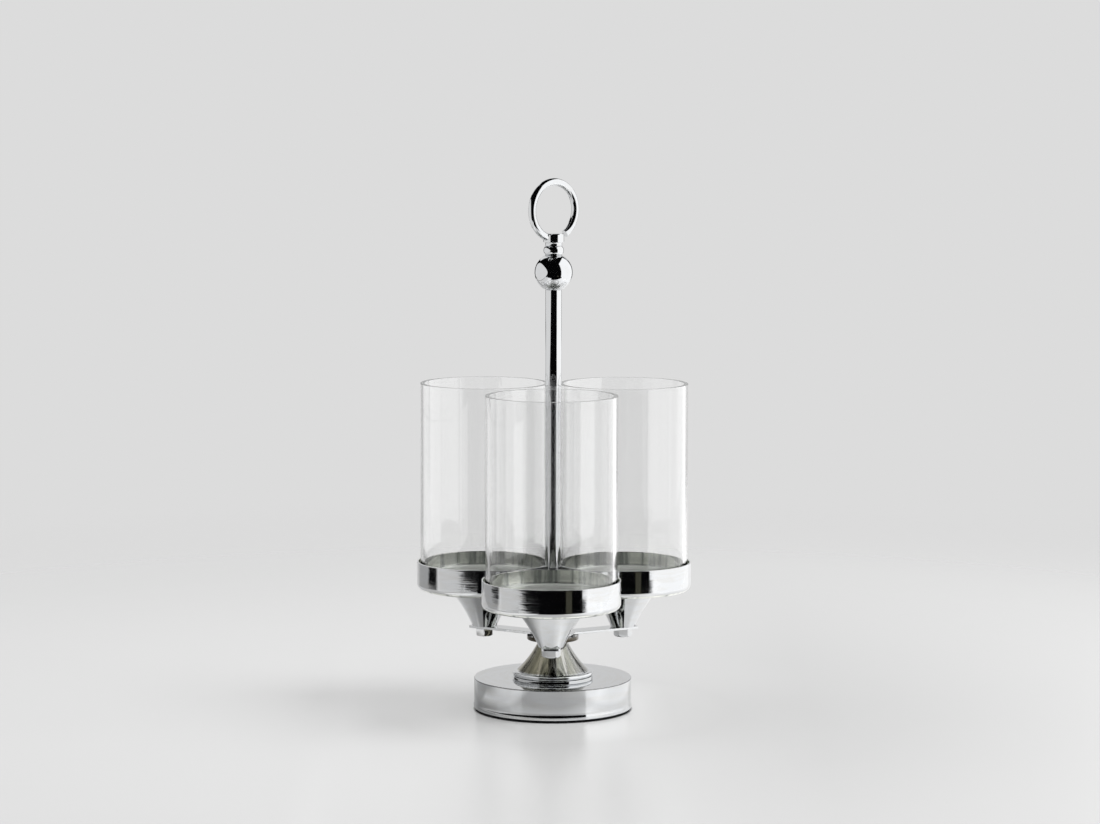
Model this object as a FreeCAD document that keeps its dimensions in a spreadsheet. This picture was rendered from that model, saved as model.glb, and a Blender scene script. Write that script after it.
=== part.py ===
import FreeCAD, Part
import math
import os
import Sketcher
from types import SimpleNamespace

# A table candle holder with three glass chimneys on a turned stand.
# The origin is the middle of the felt's underside, z is up and lengths are millimetres.
# The front cup stands towards minus y, the left one towards minus x.
# Each piece is drawn from its own seat upwards, and its placement lifts it onto the piece below.

SIZES = {
    # Base
    "felt_inset": 1.4,
    "felt_thickness": 1.5,
    "base_radius": 49.0,
    "shell_height": 18.5,
    "shell_wall": 1.0,
    "shell_edge_round": 1.1,
    "shell_foot_round": 0.4,
    "shell_hem_proud": 0.3,
    "shell_hem_height": 1.6,
    "shell_hollow_height": 3.0,
    "shell_hollow_radius": 15.2,
    "weight_gap": 0.3,
    "weight_recess_radius": 11.0,
    "weight_recess_depth": 9.0,
    # Threaded rods, nuts and washers
    "screw_radius": 3.0,
    "screw_clearance": 0.3,
    "screw_chamfer": 0.5,
    "thread_gap": 0.1,
    "thread_end": 1.0,
    "nut_corner_radius": 5.77,
    "nut_height": 5.0,
    "thin_nut_height": 4.0,
    "washer_radius": 6.0,
    "washer_thickness": 1.2,
    "head_corner_radius": 5.77,
    "head_height": 4.8,
    "head_face_radius": 4.85,
    "left_head_turn": 30.0,
    "front_head_turn": 0.0,
    "right_head_turn": 4.0,
    # Foot and pedestal
    "foot_ring_inset": 0.15,
    "foot_ring_width": 4.2,
    "foot_ring_height": 1.0,
    "foot_ring_round": 0.3,
    "pedestal_height": 22.5,
    "pedestal_top_radius": 8.3,
    "pedestal_flare_radius": 62.0,
    "pedestal_bead_radius": 1.55,
    "pedestal_bead_outer_radius": 25.0,
    "pedestal_bead_hem": 2.4,
    "pedestal_crease": 1.05,
    "spun_wall": 1.2,
    "spun_cap": 1.5,
    # Hub and three-arm plate
    "hub_radius": 16.0,
    "hub_thickness": 2.5,
    "hub_round": 0.5,
    "plate_thickness": 1.5,
    "plate_hub_radius": 13.0,
    "plate_root_round": 4.0,
    "arm_width": 11.5,
    "arm_end_margin": 8.5,
    "arm_corner_round": 1.5,
    "cup_gap": 2.2,
    "front_cup_angle": -90.0,
    # Cup cones
    "cone_height": 23.4,
    "cone_bottom_radius": 7.6,
    "cone_top_radius": 22.4,
    "cone_flare_radius": 80.0,
    # Dishes and the pans in them
    "dish_wall": 1.0,
    "dish_corner_round": 3.5,
    "dish_rim_round": 0.3,
    "pan_depth": 8.2,
    "pan_gap": 0.3,
    "pan_wall": 0.8,
    "pan_lip_height": 2.0,
    "pan_floor_margin": 0.8,
    "pan_step_width": 0.4,
    "pan_step_depth": 0.6,
    "pan_bolt_clearance": 0.8,
    # Glass chimneys
    "glass_radius": 40.0,
    "glass_clearance": 1.2,
    "glass_wall": 2.4,
    "glass_height": 120.0,
    "glass_rim_round": 0.8,
    # Centre rod
    "rod_wall": 1.0,
    "rod_length": 212.7,
    "plug_gap": 0.05,
    "socket_wall": 0.85,
    "socket_length": 14.0,
    "socket_engagement": 12.0,
    "plug_length": 12.0,
    "stud_radius": 2.5,
    "stud_engagement": 10.0,
    "stud_reach": 5.3,
    # Finial
    "ball_radius": 11.75,
    "bead_height": 5.8,
    "bead_top_radius": 4.9,
    "bead_round": 3.9,
    "neck_radius": 5.3,
    "neck_height": 2.2,
    "neck_round": 2.0,
    "collar_radius": 6.4,
    "collar_height": 5.2,
    "collar_lip": 0.7,
    "collar_chamfer": 0.5,
    "collar_bore_relief": 0.5,
    # Ring
    "ring_radius": 17.2,
    "ring_wire_radius": 2.35,
    "ring_seat_height": 4.5,
    "ring_turn": 41.5,
    "ring_end_gap": 0.6,
    "braze_gap": 0.1,
    # One overrun for every cut that leaves its piece
    "cut_overrun": 1.0,
}

CUP_NAMES = ("front", "right", "left")
FULL_TURN = 360.0
HALF_TURN = 180.0
RIGHT_ANGLE = 90.0
HEX_SIDES = 6
HEAD_BEVEL_SLOPE = 1.0
LEFT_TURN = 1
RIGHT_TURN = -1
NEAR = 0.01


class Size:
    """A length that keeps its number together with the formula that gives it from the sheet."""

    def __init__(self, value, formula):
        self.value = value
        self.formula = formula

    def __add__(self, other):
        return Size(self.value + other.value, "(%s + %s)" % (self.formula, other.formula))

    def __sub__(self, other):
        return Size(self.value - other.value, "(%s - %s)" % (self.formula, other.formula))

    def __mul__(self, factor):
        return Size(self.value * factor, "(%s * %s)" % (self.formula, factor))

    def leg(self, other):
        """The second short side of a right triangle whose longest side is this length."""
        value = math.sqrt(self.value ** 2 - other.value ** 2)
        return Size(value, "sqrt(%s ^ 2 - %s ^ 2)" % (self.formula, other.formula))

    def across(self, turn):
        """The share of this length that lies along x, for a direction at the given angle."""
        value = self.value * math.cos(math.radians(turn.value))
        return Size(value, "(%s * cos(%s))" % (self.formula, turn.formula))

    def along(self, turn):
        """The share of this length that lies along y, for a direction at the given angle."""
        value = self.value * math.sin(math.radians(turn.value))
        return Size(value, "(%s * sin(%s))" % (self.formula, turn.formula))

    def circle_for(self, count):
        """The radius of the circle on which so many neighbours stand this far apart."""
        half_step = HALF_TURN / count
        value = self.value / (2 * math.sin(math.radians(half_step)))
        return Size(value, "(%s / (2 * sin(%s deg)))" % (self.formula, half_step))


ZERO = Size(0.0, "0")
CLOSED = Size(0.0, "0 deg")


def fill_sheet(doc):
    """Put the driving sizes in a sheet and give them back by name."""
    sheet = doc.addObject("Spreadsheet::Sheet", "Sizes")
    for row, (alias, value) in enumerate(SIZES.items(), start=1):
        sheet.set("A%d" % row, alias)
        sheet.set("B%d" % row, str(value))
        sheet.setAlias("B%d" % row, alias)
    doc.recompute()
    return SimpleNamespace(**{alias: Size(value, "Sizes.%s" % alias) for alias, value in SIZES.items()})


def fit_together(s):
    """Work out the sizes that pieces share because one fits in, on or round another."""
    s.screw_hole_radius = s.screw_radius + s.screw_clearance
    s.thread_hole_radius = s.screw_radius + s.thread_gap
    s.stud_hole_radius = s.stud_radius + s.thread_gap
    s.felt_radius = s.base_radius - s.felt_inset
    s.shell_side_radius = s.base_radius - s.shell_hem_proud
    s.bead_middle_radius = s.pedestal_bead_outer_radius - s.pedestal_bead_radius
    s.foot_ring_radius = s.pedestal_bead_outer_radius - s.foot_ring_inset
    s.dish_radius = s.glass_radius + s.glass_clearance + s.dish_wall
    s.cup_circle_radius = (s.dish_radius * 2 + s.cup_gap).circle_for(len(CUP_NAMES))
    nut_stack = s.washer_thickness + s.thin_nut_height + s.thread_end
    s.pan_height = nut_stack + s.pan_bolt_clearance + s.pan_wall + s.pan_step_depth
    s.dish_height = s.dish_wall + s.pan_height + s.pan_depth
    s.plug_radius = s.thread_hole_radius + s.socket_wall
    s.rod_radius = s.plug_radius + s.plug_gap + s.rod_wall
    return s


def bind(thing, setting, size):
    """Drive one property of an object by a formula on the sheet."""
    thing.setExpression(setting, size.formula)


def place(thing, height, east=None, north=None, turn=None):
    """Lift a piece to its seat, and move and turn it to its cup where it has one."""
    rotation = FreeCAD.Rotation(FreeCAD.Vector(0, 0, 1), turn.value if turn else 0)
    thing.Placement = FreeCAD.Placement(FreeCAD.Vector(0, 0, height.value), rotation)
    bind(thing, "Placement.Base.z", height)
    if east is not None:
        bind(thing, "Placement.Base.x", east)
        bind(thing, "Placement.Base.y", north)


def new_body(doc, name):
    body = doc.addObject("PartDesign::Body", name)
    body.Label = name
    return body


def new_sketch(body, name, role):
    """A sketch on one of its own body's origin planes."""
    plane = [feature for feature in body.Origin.OriginFeatures if feature.Role == role][0]
    sketch = body.newObject("Sketcher::SketchObject", name)
    sketch.AttachmentSupport = [(plane, "")]
    sketch.MapMode = "FlatFace"
    return sketch


def pin_point(sketch, edge, end, x, y):
    """Fix one end of an edge at a place given by two sizes."""
    for axis, kind, size in ((-2, "DistanceX", x), (-1, "DistanceY", y)):
        if size.value == 0:
            sketch.addConstraint(Sketcher.Constraint("PointOnObject", edge, end, axis))
        else:
            index = sketch.addConstraint(Sketcher.Constraint(kind, -1, 1, edge, end, size.value))
            bind(sketch, "Constraints[%d]" % index, size)


def arc_between(start, finish, radius, turn):
    """The short arc from start to finish, with its centre on the side that it turns to."""
    chord = finish - start
    middle = (start + finish) * 0.5
    side = FreeCAD.Vector(-chord.y, chord.x, 0).normalize() * turn
    centre = middle + side * math.sqrt(radius ** 2 - (chord.Length / 2) ** 2)
    first, last = (start, finish) if turn == LEFT_TURN else (finish, start)
    begin = math.atan2(first.y - centre.y, first.x - centre.x)
    end = math.atan2(last.y - centre.y, last.x - centre.x)
    if end < begin:
        end += math.radians(FULL_TURN)
    circle = Part.Circle(centre, FreeCAD.Vector(0, 0, 1), radius)
    return Part.ArcOfCircle(circle, begin, end)


def draw_outline(sketch, corners):
    """A closed outline of lines and arcs. A corner is x, y and, if an arc leads to it, radius and turn."""
    count = len(corners)
    points = [FreeCAD.Vector(corner[0].value, corner[1].value, 0) for corner in corners]
    starts = []
    for index in range(count):
        goal = corners[(index + 1) % count]
        start, finish = points[index], points[(index + 1) % count]
        if len(goal) > 2:
            radius, turn = goal[2], goal[3]
            edge = sketch.addGeometry(arc_between(start, finish, radius.value, turn), False)
            starts.append((edge, 1 if turn == LEFT_TURN else 2))
            index = sketch.addConstraint(Sketcher.Constraint("Radius", edge, radius.value))
            bind(sketch, "Constraints[%d]" % index, radius)
        else:
            starts.append((sketch.addGeometry(Part.LineSegment(start, finish), False), 1))
    for index, (edge, end) in enumerate(starts):
        last_edge, last_start = starts[index - 1]
        sketch.addConstraint(Sketcher.Constraint("Coincident", last_edge, 3 - last_start, edge, end))
        pin_point(sketch, edge, end, corners[index][0], corners[index][1])


def turned(doc, name, corners):
    """A piece of revolution about its own z axis. Corners are radius and height, counter-clockwise."""
    body = new_body(doc, name)
    sketch = new_sketch(body, name + "_outline", "XZ_Plane")
    draw_outline(sketch, corners)
    feature = body.newObject("PartDesign::Revolution", name + "_turning")
    feature.Profile = sketch
    feature.ReferenceAxis = (sketch, ["V_Axis"])
    feature.Angle = FULL_TURN
    sketch.Visibility = False
    return body


def ring_outline(inner, outer, height):
    """The plain square section of a tube, washer or plug."""
    return [(inner, ZERO), (outer, ZERO), (outer, height), (inner, height)]


def pin_outline(radius, length, chamfer):
    """The half section of a solid rod with both ends chamfered."""
    return [
        (ZERO, ZERO),
        (radius - chamfer, ZERO),
        (radius, chamfer),
        (radius, length - chamfer),
        (radius - chamfer, length),
        (ZERO, length),
    ]


def felt_pad(doc, s):
    body = new_body(doc, "felt_pad")
    sketch = new_sketch(body, "felt_outline", "XY_Plane")
    draw_circle(sketch, ZERO, ZERO, s.felt_radius)
    pad(body, "felt_thickness_pad", sketch, s.felt_thickness)
    return body


def draw_circle(sketch, x, y, radius):
    """A circle whose centre and radius follow the sheet."""
    circle = Part.Circle(FreeCAD.Vector(x.value, y.value, 0), FreeCAD.Vector(0, 0, 1), radius.value)
    edge = sketch.addGeometry(circle, False)
    pin_point(sketch, edge, 3, x, y)
    index = sketch.addConstraint(Sketcher.Constraint("Radius", edge, radius.value))
    bind(sketch, "Constraints[%d]" % index, radius)


def pad(body, name, sketch, thickness):
    feature = body.newObject("PartDesign::Pad", name)
    feature.Profile = sketch
    bind(feature, "Length", thickness)
    sketch.Visibility = False
    return feature


def pocket_through(body, name, sketch):
    """A cut through the whole piece, both ways from the sketch."""
    feature = body.newObject("PartDesign::Pocket", name)
    feature.Profile = sketch
    feature.Type = "ThroughAll"
    feature.Midplane = True
    sketch.Visibility = False
    return feature


def repeat_round(body, name, feature):
    """Repeat a feature of a body once for each cup."""
    pattern = body.newObject("PartDesign::PolarPattern", name)
    pattern.Originals = [feature]
    pattern.Axis = ([part for part in body.Origin.OriginFeatures if part.Role == "Z_Axis"][0], [""])
    pattern.Angle = FULL_TURN
    pattern.Occurrences = len(CUP_NAMES)
    body.Tip = pattern
    return pattern


def base_shell(doc, s):
    """The drawn shell. Its side spreads a little into an upright hem at the foot."""
    radius, side, height, wall = s.base_radius, s.shell_side_radius, s.shell_height, s.shell_wall
    bore = s.screw_hole_radius
    return turned(doc, "base_shell", [
        (bore, height - wall),
        (side - wall, height - wall),
        (side - wall, ZERO),
        (radius - s.shell_foot_round, ZERO),
        (radius, s.shell_foot_round, s.shell_foot_round, LEFT_TURN),
        (radius, s.shell_hem_height),
        (side, s.shell_hem_height + s.shell_hollow_height, s.shell_hollow_radius, RIGHT_TURN),
        (side, height - s.shell_edge_round),
        (side - s.shell_edge_round, height, s.shell_edge_round, LEFT_TURN),
        (bore, height),
    ])


def base_weight(doc, s):
    """The iron disc that fills the shell, with a recess under it for the nut."""
    radius = s.shell_side_radius - s.shell_wall - s.weight_gap
    height = s.shell_height - s.shell_wall
    bore = s.screw_hole_radius
    return turned(doc, "base_weight", [
        (s.weight_recess_radius, ZERO),
        (radius, ZERO),
        (radius, height),
        (bore, height),
        (bore, s.weight_recess_depth),
        (s.weight_recess_radius, s.weight_recess_depth),
    ])


def foot_ring(doc, s):
    inner, outer = s.foot_ring_radius - s.foot_ring_width, s.foot_ring_radius
    height, edge = s.foot_ring_height, s.foot_ring_round
    return turned(doc, "foot_ring", [
        (inner, ZERO),
        (outer, ZERO),
        (outer, height - edge),
        (outer - edge, height, edge, LEFT_TURN),
        (inner, height),
    ])


def pedestal_cone(doc, s):
    """The spun trumpet, wide end down, with a round bead at its skirt and a capped small end."""
    bead, bead_middle = s.pedestal_bead_radius, s.bead_middle_radius
    lip = bead_middle - s.pedestal_crease
    height, wall = s.pedestal_height, s.spun_wall
    bore = s.screw_hole_radius
    flare = s.pedestal_flare_radius
    return turned(doc, "pedestal_cone", [
        (bead_middle - s.pedestal_bead_hem, ZERO),
        (bead_middle, ZERO),
        (s.pedestal_bead_outer_radius, bead, bead, LEFT_TURN),
        (bead_middle, bead * 2, bead, LEFT_TURN),
        (lip, bead * 2),
        (s.pedestal_top_radius, height, flare, RIGHT_TURN),
        (bore, height),
        (bore, height - s.spun_cap),
        (s.pedestal_top_radius - wall, height - s.spun_cap),
        (lip - wall, bead * 2, flare + wall, LEFT_TURN),
    ])


def hub_disc(doc, s):
    bore = s.screw_hole_radius
    return turned(doc, "hub_disc", [
        (bore, ZERO),
        (s.hub_radius - s.hub_round, ZERO),
        (s.hub_radius, s.hub_round, s.hub_round, LEFT_TURN),
        (s.hub_radius, s.hub_thickness),
        (bore, s.hub_thickness),
    ])


def upright_edges(shape, at_radius):
    """Names of the straight upright edges that stand a given distance from the z axis."""
    names = []
    for number, edge in enumerate(shape.Edges, start=1):
        start, finish = edge.Vertexes[0].Point, edge.Vertexes[-1].Point
        upright = abs(start.x - finish.x) < NEAR and abs(start.y - finish.y) < NEAR
        placed = abs(math.hypot(start.x, start.y) - at_radius) < NEAR
        if upright and placed and isinstance(edge.Curve, Part.Line):
            names.append("Edge%d" % number)
    return names


def spider_plate(doc, s):
    """The flat plate with an arm for each cup, drawn with its first arm along x."""
    body = new_body(doc, "spider_plate")
    half = s.arm_width * 0.5
    tip = s.cup_circle_radius + s.arm_end_margin
    bore = s.screw_hole_radius

    middle = new_sketch(body, "plate_middle_outline", "XY_Plane")
    draw_circle(middle, ZERO, ZERO, s.plate_hub_radius)
    pad(body, "plate_middle", middle, s.plate_thickness)

    arm_sketch = new_sketch(body, "plate_arm_outline", "XY_Plane")
    corners = [
        (ZERO, ZERO - half),
        (tip - s.arm_corner_round, ZERO - half),
        (tip, s.arm_corner_round - half, s.arm_corner_round, LEFT_TURN),
        (tip, half - s.arm_corner_round),
        (tip - s.arm_corner_round, half, s.arm_corner_round, LEFT_TURN),
        (ZERO, half),
    ]
    draw_outline(arm_sketch, corners)
    arm = pad(body, "plate_arm", arm_sketch, s.plate_thickness)
    doc.recompute()
    star = repeat_round(body, "plate_arms", arm)
    doc.recompute()

    roots = body.newObject("PartDesign::Fillet", "plate_arm_roots")
    roots.Base = (star, upright_edges(star.Shape, s.plate_hub_radius.value))
    bind(roots, "Radius", s.plate_root_round)
    body.Tip = roots
    doc.recompute()

    hole_sketch = new_sketch(body, "plate_arm_hole_outline", "XY_Plane")
    draw_circle(hole_sketch, s.cup_circle_radius, ZERO, bore)
    hole = pocket_through(body, "plate_arm_hole", hole_sketch)
    doc.recompute()
    repeat_round(body, "plate_arm_holes", hole)

    centre_sketch = new_sketch(body, "plate_centre_hole_outline", "XY_Plane")
    draw_circle(centre_sketch, ZERO, ZERO, bore)
    body.Tip = pocket_through(body, "plate_centre_hole", centre_sketch)
    return body


def cup_cone(doc, s, name):
    """The spun trumpet under a dish, small end down."""
    wall = s.spun_wall
    bore = s.screw_hole_radius
    return turned(doc, name, [
        (bore, ZERO),
        (s.cone_bottom_radius, ZERO),
        (s.cone_top_radius, s.cone_height, s.cone_flare_radius, RIGHT_TURN),
        (s.cone_top_radius - wall, s.cone_height),
        (s.cone_bottom_radius - wall, s.spun_cap, s.cone_flare_radius + wall, LEFT_TURN),
        (bore, s.spun_cap),
    ])


def dish(doc, s, name):
    """The drawn cup with a round lower corner and a thin straight wall."""
    radius, height, wall = s.dish_radius, s.dish_height, s.dish_wall
    corner, rim = s.dish_corner_round, s.dish_rim_round
    bore = s.screw_hole_radius
    return turned(doc, name, [
        (bore, ZERO),
        (radius - corner, ZERO),
        (radius, corner, corner, LEFT_TURN),
        (radius, height - rim),
        (radius - rim, height, rim, LEFT_TURN),
        (radius - wall + rim, height),
        (radius - wall, height - rim, rim, LEFT_TURN),
        (radius - wall, corner),
        (radius - corner, wall, corner - wall, RIGHT_TURN),
        (bore, wall),
    ])


def pan(doc, s, name):
    """The liner that hides the nut. Its raised edge seats the glass and its floor takes the candle."""
    outer = s.dish_radius - s.dish_wall - s.pan_gap
    foot = s.dish_radius - s.dish_corner_round - s.pan_gap
    floor_radius = s.glass_radius - s.glass_wall - s.pan_floor_margin
    height, wall = s.pan_height, s.pan_wall
    floor = height - s.pan_step_depth
    return turned(doc, name, [
        (foot - wall, ZERO),
        (foot, ZERO),
        (outer, height - s.pan_lip_height),
        (outer, height),
        (floor_radius + s.pan_step_width, height),
        (floor_radius, floor),
        (ZERO, floor),
        (ZERO, floor - wall),
        (outer - wall, floor - wall),
    ])


def glass(doc, s, name):
    """The open glass tube with both ends melted round."""
    outer, inner = s.glass_radius, s.glass_radius - s.glass_wall
    height, rim = s.glass_height, s.glass_rim_round
    return turned(doc, name, [
        (inner + rim, ZERO, rim, LEFT_TURN),
        (outer - rim, ZERO),
        (outer, rim, rim, LEFT_TURN),
        (outer, height - rim),
        (outer - rim, height, rim, LEFT_TURN),
        (inner + rim, height),
        (inner, height - rim, rim, LEFT_TURN),
        (inner, rim),
    ])


def finial_ball(doc, s):
    """The ball with a flat seat at both poles and a bore for the stud."""
    bore, seat = s.stud_hole_radius, s.rod_radius
    height = s.ball_radius.leg(seat) * 2
    return turned(doc, "finial_ball", [
        (bore, ZERO),
        (seat, ZERO),
        (seat, height, s.ball_radius, LEFT_TURN),
        (bore, height),
    ])


def finial_bead(doc, s):
    bore = s.stud_hole_radius
    return turned(doc, "finial_bead", [
        (bore, ZERO),
        (s.rod_radius, ZERO),
        (s.bead_top_radius, s.bead_height, s.bead_round, LEFT_TURN),
        (bore, s.bead_height),
    ])


def finial_collar(doc, s, lift):
    """The collar that the stud screws into, drilled across for the two ends of the ring."""
    bore = s.stud_hole_radius
    bore_depth = s.stud_reach + s.collar_bore_relief
    height = s.neck_height + s.collar_height
    blank = turned(doc, "collar_blank", [
        (bore, ZERO),
        (s.neck_radius, ZERO),
        (s.collar_radius - s.collar_lip, s.neck_height, s.neck_round, RIGHT_TURN),
        (s.collar_radius, s.neck_height),
        (s.collar_radius, height - s.collar_chamfer),
        (s.collar_radius - s.collar_chamfer, height),
        (ZERO, height),
        (ZERO, bore_depth),
        (bore, bore_depth),
    ])
    place(blank, lift)
    drill = ring_torus(doc, "ring_drill", s, s.ring_wire_radius + s.braze_gap, CLOSED)
    stand_ring_up(drill, s, lift, CLOSED)
    collar = doc.addObject("Part::Cut", "finial_collar")
    collar.Label = "finial_collar"
    collar.Base = blank
    collar.Tool = drill
    return collar


def ring_torus(doc, name, s, wire, opening):
    """A round wire bent to a circle, open by the given angle."""
    torus = doc.addObject("Part::Torus", name)
    torus.Label = name
    bind(torus, "Radius1", s.ring_radius)
    bind(torus, "Radius2", wire)
    torus.setExpression("Angle3", "%s deg - %s" % (FULL_TURN, opening.formula))
    return torus


def stand_ring_up(torus, s, lift, opening):
    """Stand a flat ring upright on the collar, its opening down, turned about the rod's axis."""
    height = lift + s.ring_seat_height + s.ring_radius
    level = FreeCAD.Rotation(FreeCAD.Vector(0, 0, 1), opening.value / 2 - RIGHT_ANGLE)
    upright = FreeCAD.Rotation(FreeCAD.Vector(1, 0, 0), RIGHT_ANGLE)
    about = FreeCAD.Rotation(FreeCAD.Vector(0, 0, 1), s.ring_turn.value)
    base = FreeCAD.Vector(0, 0, height.value)
    torus.Placement = FreeCAD.Placement(base, about.multiply(upright).multiply(level))
    bind(torus, "Placement.Base.z", height)


def ring_handle(doc, s, lift):
    """The ring, whose ends stop just short of the stud inside the collar."""
    half_gap = s.stud_radius + s.ring_end_gap
    half_angle = math.degrees(math.asin(half_gap.value / s.ring_radius.value))
    opening = Size(2 * half_angle, "2 * asin(%s / %s)" % (half_gap.formula, s.ring_radius.formula))
    ring = ring_torus(doc, "ring_handle", s, s.ring_wire_radius, opening)
    stand_ring_up(ring, s, lift, opening)
    return ring


def hex_bolt(doc, s, name, turn):
    """A hexagon bolt, drawn with the underside of its head at zero and its shank upwards."""
    prism = doc.addObject("Part::Prism", name + "_hexagon")
    prism.Polygon = HEX_SIDES
    bind(prism, "Circumradius", s.head_corner_radius)
    bind(prism, "Height", s.head_height)
    place(prism, ZERO - s.head_height, turn=turn)
    bevel = doc.addObject("Part::Cone", name + "_bevel")
    bind(bevel, "Radius1", s.head_face_radius)
    bind(bevel, "Radius2", s.head_face_radius + s.head_height * HEAD_BEVEL_SLOPE)
    bind(bevel, "Height", s.head_height)
    place(bevel, ZERO - s.head_height)
    head = doc.addObject("Part::Common", name + "_head")
    head.Base = prism
    head.Tool = bevel
    clamped = s.plate_thickness + s.cone_height + s.dish_wall
    length = clamped + s.washer_thickness + s.thin_nut_height + s.thread_end
    shank = turned(doc, name + "_shank", pin_outline(s.screw_radius, length, s.screw_chamfer))
    bolt = doc.addObject("Part::Fuse", name)
    bolt.Base = head
    bolt.Tool = shank
    bolt.Label = name
    return bolt


def hex_nut(doc, s, name, height):
    prism = doc.addObject("Part::Prism", name + "_hexagon")
    prism.Polygon = HEX_SIDES
    bind(prism, "Circumradius", s.nut_corner_radius)
    bind(prism, "Height", height)
    thread = doc.addObject("Part::Cylinder", name + "_thread")
    bind(thread, "Radius", s.thread_hole_radius)
    bind(thread, "Height", height + s.cut_overrun * 2)
    place(thread, ZERO - s.cut_overrun)
    nut = doc.addObject("Part::Cut", name)
    nut.Base = prism
    nut.Tool = thread
    nut.Label = name
    return nut


def washer(doc, s, name):
    return turned(doc, name, ring_outline(s.screw_hole_radius, s.washer_radius, s.washer_thickness))


def group(doc, name, pieces):
    """One node of several separate solids."""
    bunch = doc.addObject("Part::Compound", name)
    bunch.Label = name
    bunch.Links = pieces
    return bunch


def build(doc, s):
    """Make every piece and stack it, and give the nodes back in order."""
    nodes = []

    # Heights of the seats, from the table up.
    felt_top = s.felt_thickness
    base_top = felt_top + s.shell_height
    foot_top = base_top + s.foot_ring_height
    pedestal_top = foot_top + s.pedestal_height
    hub_top = pedestal_top + s.hub_thickness
    plate_top = hub_top + s.plate_thickness
    dish_seat = plate_top + s.cone_height
    dish_floor = dish_seat + s.dish_wall
    pan_top = dish_seat + s.dish_height - s.pan_depth
    rod_top = plate_top + s.rod_length
    ball_top = rod_top + s.ball_radius.leg(s.rod_radius) * 2
    collar_seat = ball_top + s.bead_height
    recess_top = felt_top + s.weight_recess_depth

    # Base
    nodes.append(felt_pad(doc, s))
    shell = base_shell(doc, s)
    place(shell, felt_top)
    weight = base_weight(doc, s)
    place(weight, felt_top)
    tie_washer = washer(doc, s, "tie_washer")
    place(tie_washer, recess_top - s.washer_thickness)
    tie_nut = hex_nut(doc, s, "tie_nut", s.nut_height)
    nut_bottom = recess_top - s.washer_thickness - s.nut_height
    place(tie_nut, nut_bottom)
    tie_bottom = nut_bottom - s.thread_end
    tie_length = plate_top + s.socket_engagement - tie_bottom
    tie_rod = turned(doc, "tie_rod", pin_outline(s.screw_radius, tie_length, s.screw_chamfer))
    place(tie_rod, tie_bottom)
    nodes += [shell, weight, tie_washer, tie_nut, tie_rod]

    # Pedestal, hub and plate
    foot = foot_ring(doc, s)
    place(foot, base_top)
    pedestal = pedestal_cone(doc, s)
    place(pedestal, foot_top)
    hub = hub_disc(doc, s)
    place(hub, pedestal_top)
    plate = spider_plate(doc, s)
    place(plate, hub_top, turn=s.front_cup_angle)
    nodes += [foot, pedestal, hub, plate]

    # Centre rod with the threaded plugs in its ends
    rod_section = ring_outline(s.rod_radius - s.rod_wall, s.rod_radius, s.rod_length)
    rod = turned(doc, "centre_rod", rod_section)
    place(rod, plate_top)
    socket_section = ring_outline(s.thread_hole_radius, s.plug_radius, s.socket_length)
    socket = turned(doc, "rod_socket", socket_section)
    place(socket, plate_top)
    plug_section = ring_outline(s.stud_hole_radius, s.plug_radius, s.plug_length)
    plug = turned(doc, "rod_plug", plug_section)
    place(plug, rod_top - s.plug_length)
    nodes += [rod, socket, plug]

    # Finial
    stud_bottom = rod_top - s.stud_engagement
    stud_length = collar_seat + s.stud_reach - stud_bottom
    stud = turned(doc, "finial_stud", pin_outline(s.stud_radius, stud_length, s.screw_chamfer))
    place(stud, stud_bottom)
    ball = finial_ball(doc, s)
    place(ball, rod_top)
    bead = finial_bead(doc, s)
    place(bead, ball_top)
    collar = finial_collar(doc, s, collar_seat)
    ring = ring_handle(doc, s, collar_seat)
    nodes += [stud, ball, bead, collar, ring]

    # Cups, each on the end of its arm
    head_turns = {"front": s.front_head_turn, "right": s.right_head_turn, "left": s.left_head_turn}
    bolts, washers, nuts = [], [], []
    for index, cup in enumerate(CUP_NAMES):
        step = index * FULL_TURN / len(CUP_NAMES)
        angle = Size(s.front_cup_angle.value + step, "(%s + %s)" % (s.front_cup_angle.formula, step))
        east = s.cup_circle_radius.across(angle)
        north = s.cup_circle_radius.along(angle)
        cone = cup_cone(doc, s, "cup_cone_" + cup)
        place(cone, plate_top, east, north)
        drawn_dish = dish(doc, s, "dish_" + cup)
        place(drawn_dish, dish_seat, east, north)
        liner = pan(doc, s, "pan_" + cup)
        place(liner, dish_floor, east, north)
        chimney = glass(doc, s, "glass_" + cup)
        place(chimney, pan_top, east, north)
        nodes += [cone, drawn_dish, liner, chimney]
        bolt = hex_bolt(doc, s, "arm_bolt_" + cup, head_turns[cup])
        place(bolt, hub_top, east, north)
        bolts.append(bolt)
        flat_washer = washer(doc, s, "dish_washer_" + cup)
        place(flat_washer, dish_floor, east, north)
        washers.append(flat_washer)
        nut = hex_nut(doc, s, "dish_nut_" + cup, s.thin_nut_height)
        place(nut, dish_floor + s.washer_thickness, east, north)
        nuts.append(nut)
    nodes.append(group(doc, "arm_bolts", bolts))
    nodes.append(group(doc, "dish_washers", washers))
    nodes.append(group(doc, "dish_nuts", nuts))
    return nodes


def check(doc, nodes):
    """Stop before anything is written if an object failed or a shape is missing or broken."""
    failed = [thing.Name for thing in doc.Objects if "Invalid" in thing.State or "Error" in thing.State]
    if failed:
        raise RuntimeError("failed objects: %s" % ", ".join(failed))
    for node in nodes:
        if node.Shape.isNull() or not node.Shape.isValid():
            raise RuntimeError("bad shape: %s" % node.Label)


document = FreeCAD.newDocument("candle_holder")
pieces = build(document, fit_together(fill_sheet(document)))
document.recompute()
check(document, pieces)
os.makedirs("parts", exist_ok=True)
for piece in pieces:
    piece.Shape.exportStep("parts/%s.step" % piece.Label)
    print("%-18s %2d solids %10.1f mm3" % (piece.Label, len(piece.Shape.Solids), piece.Shape.Volume))
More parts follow.
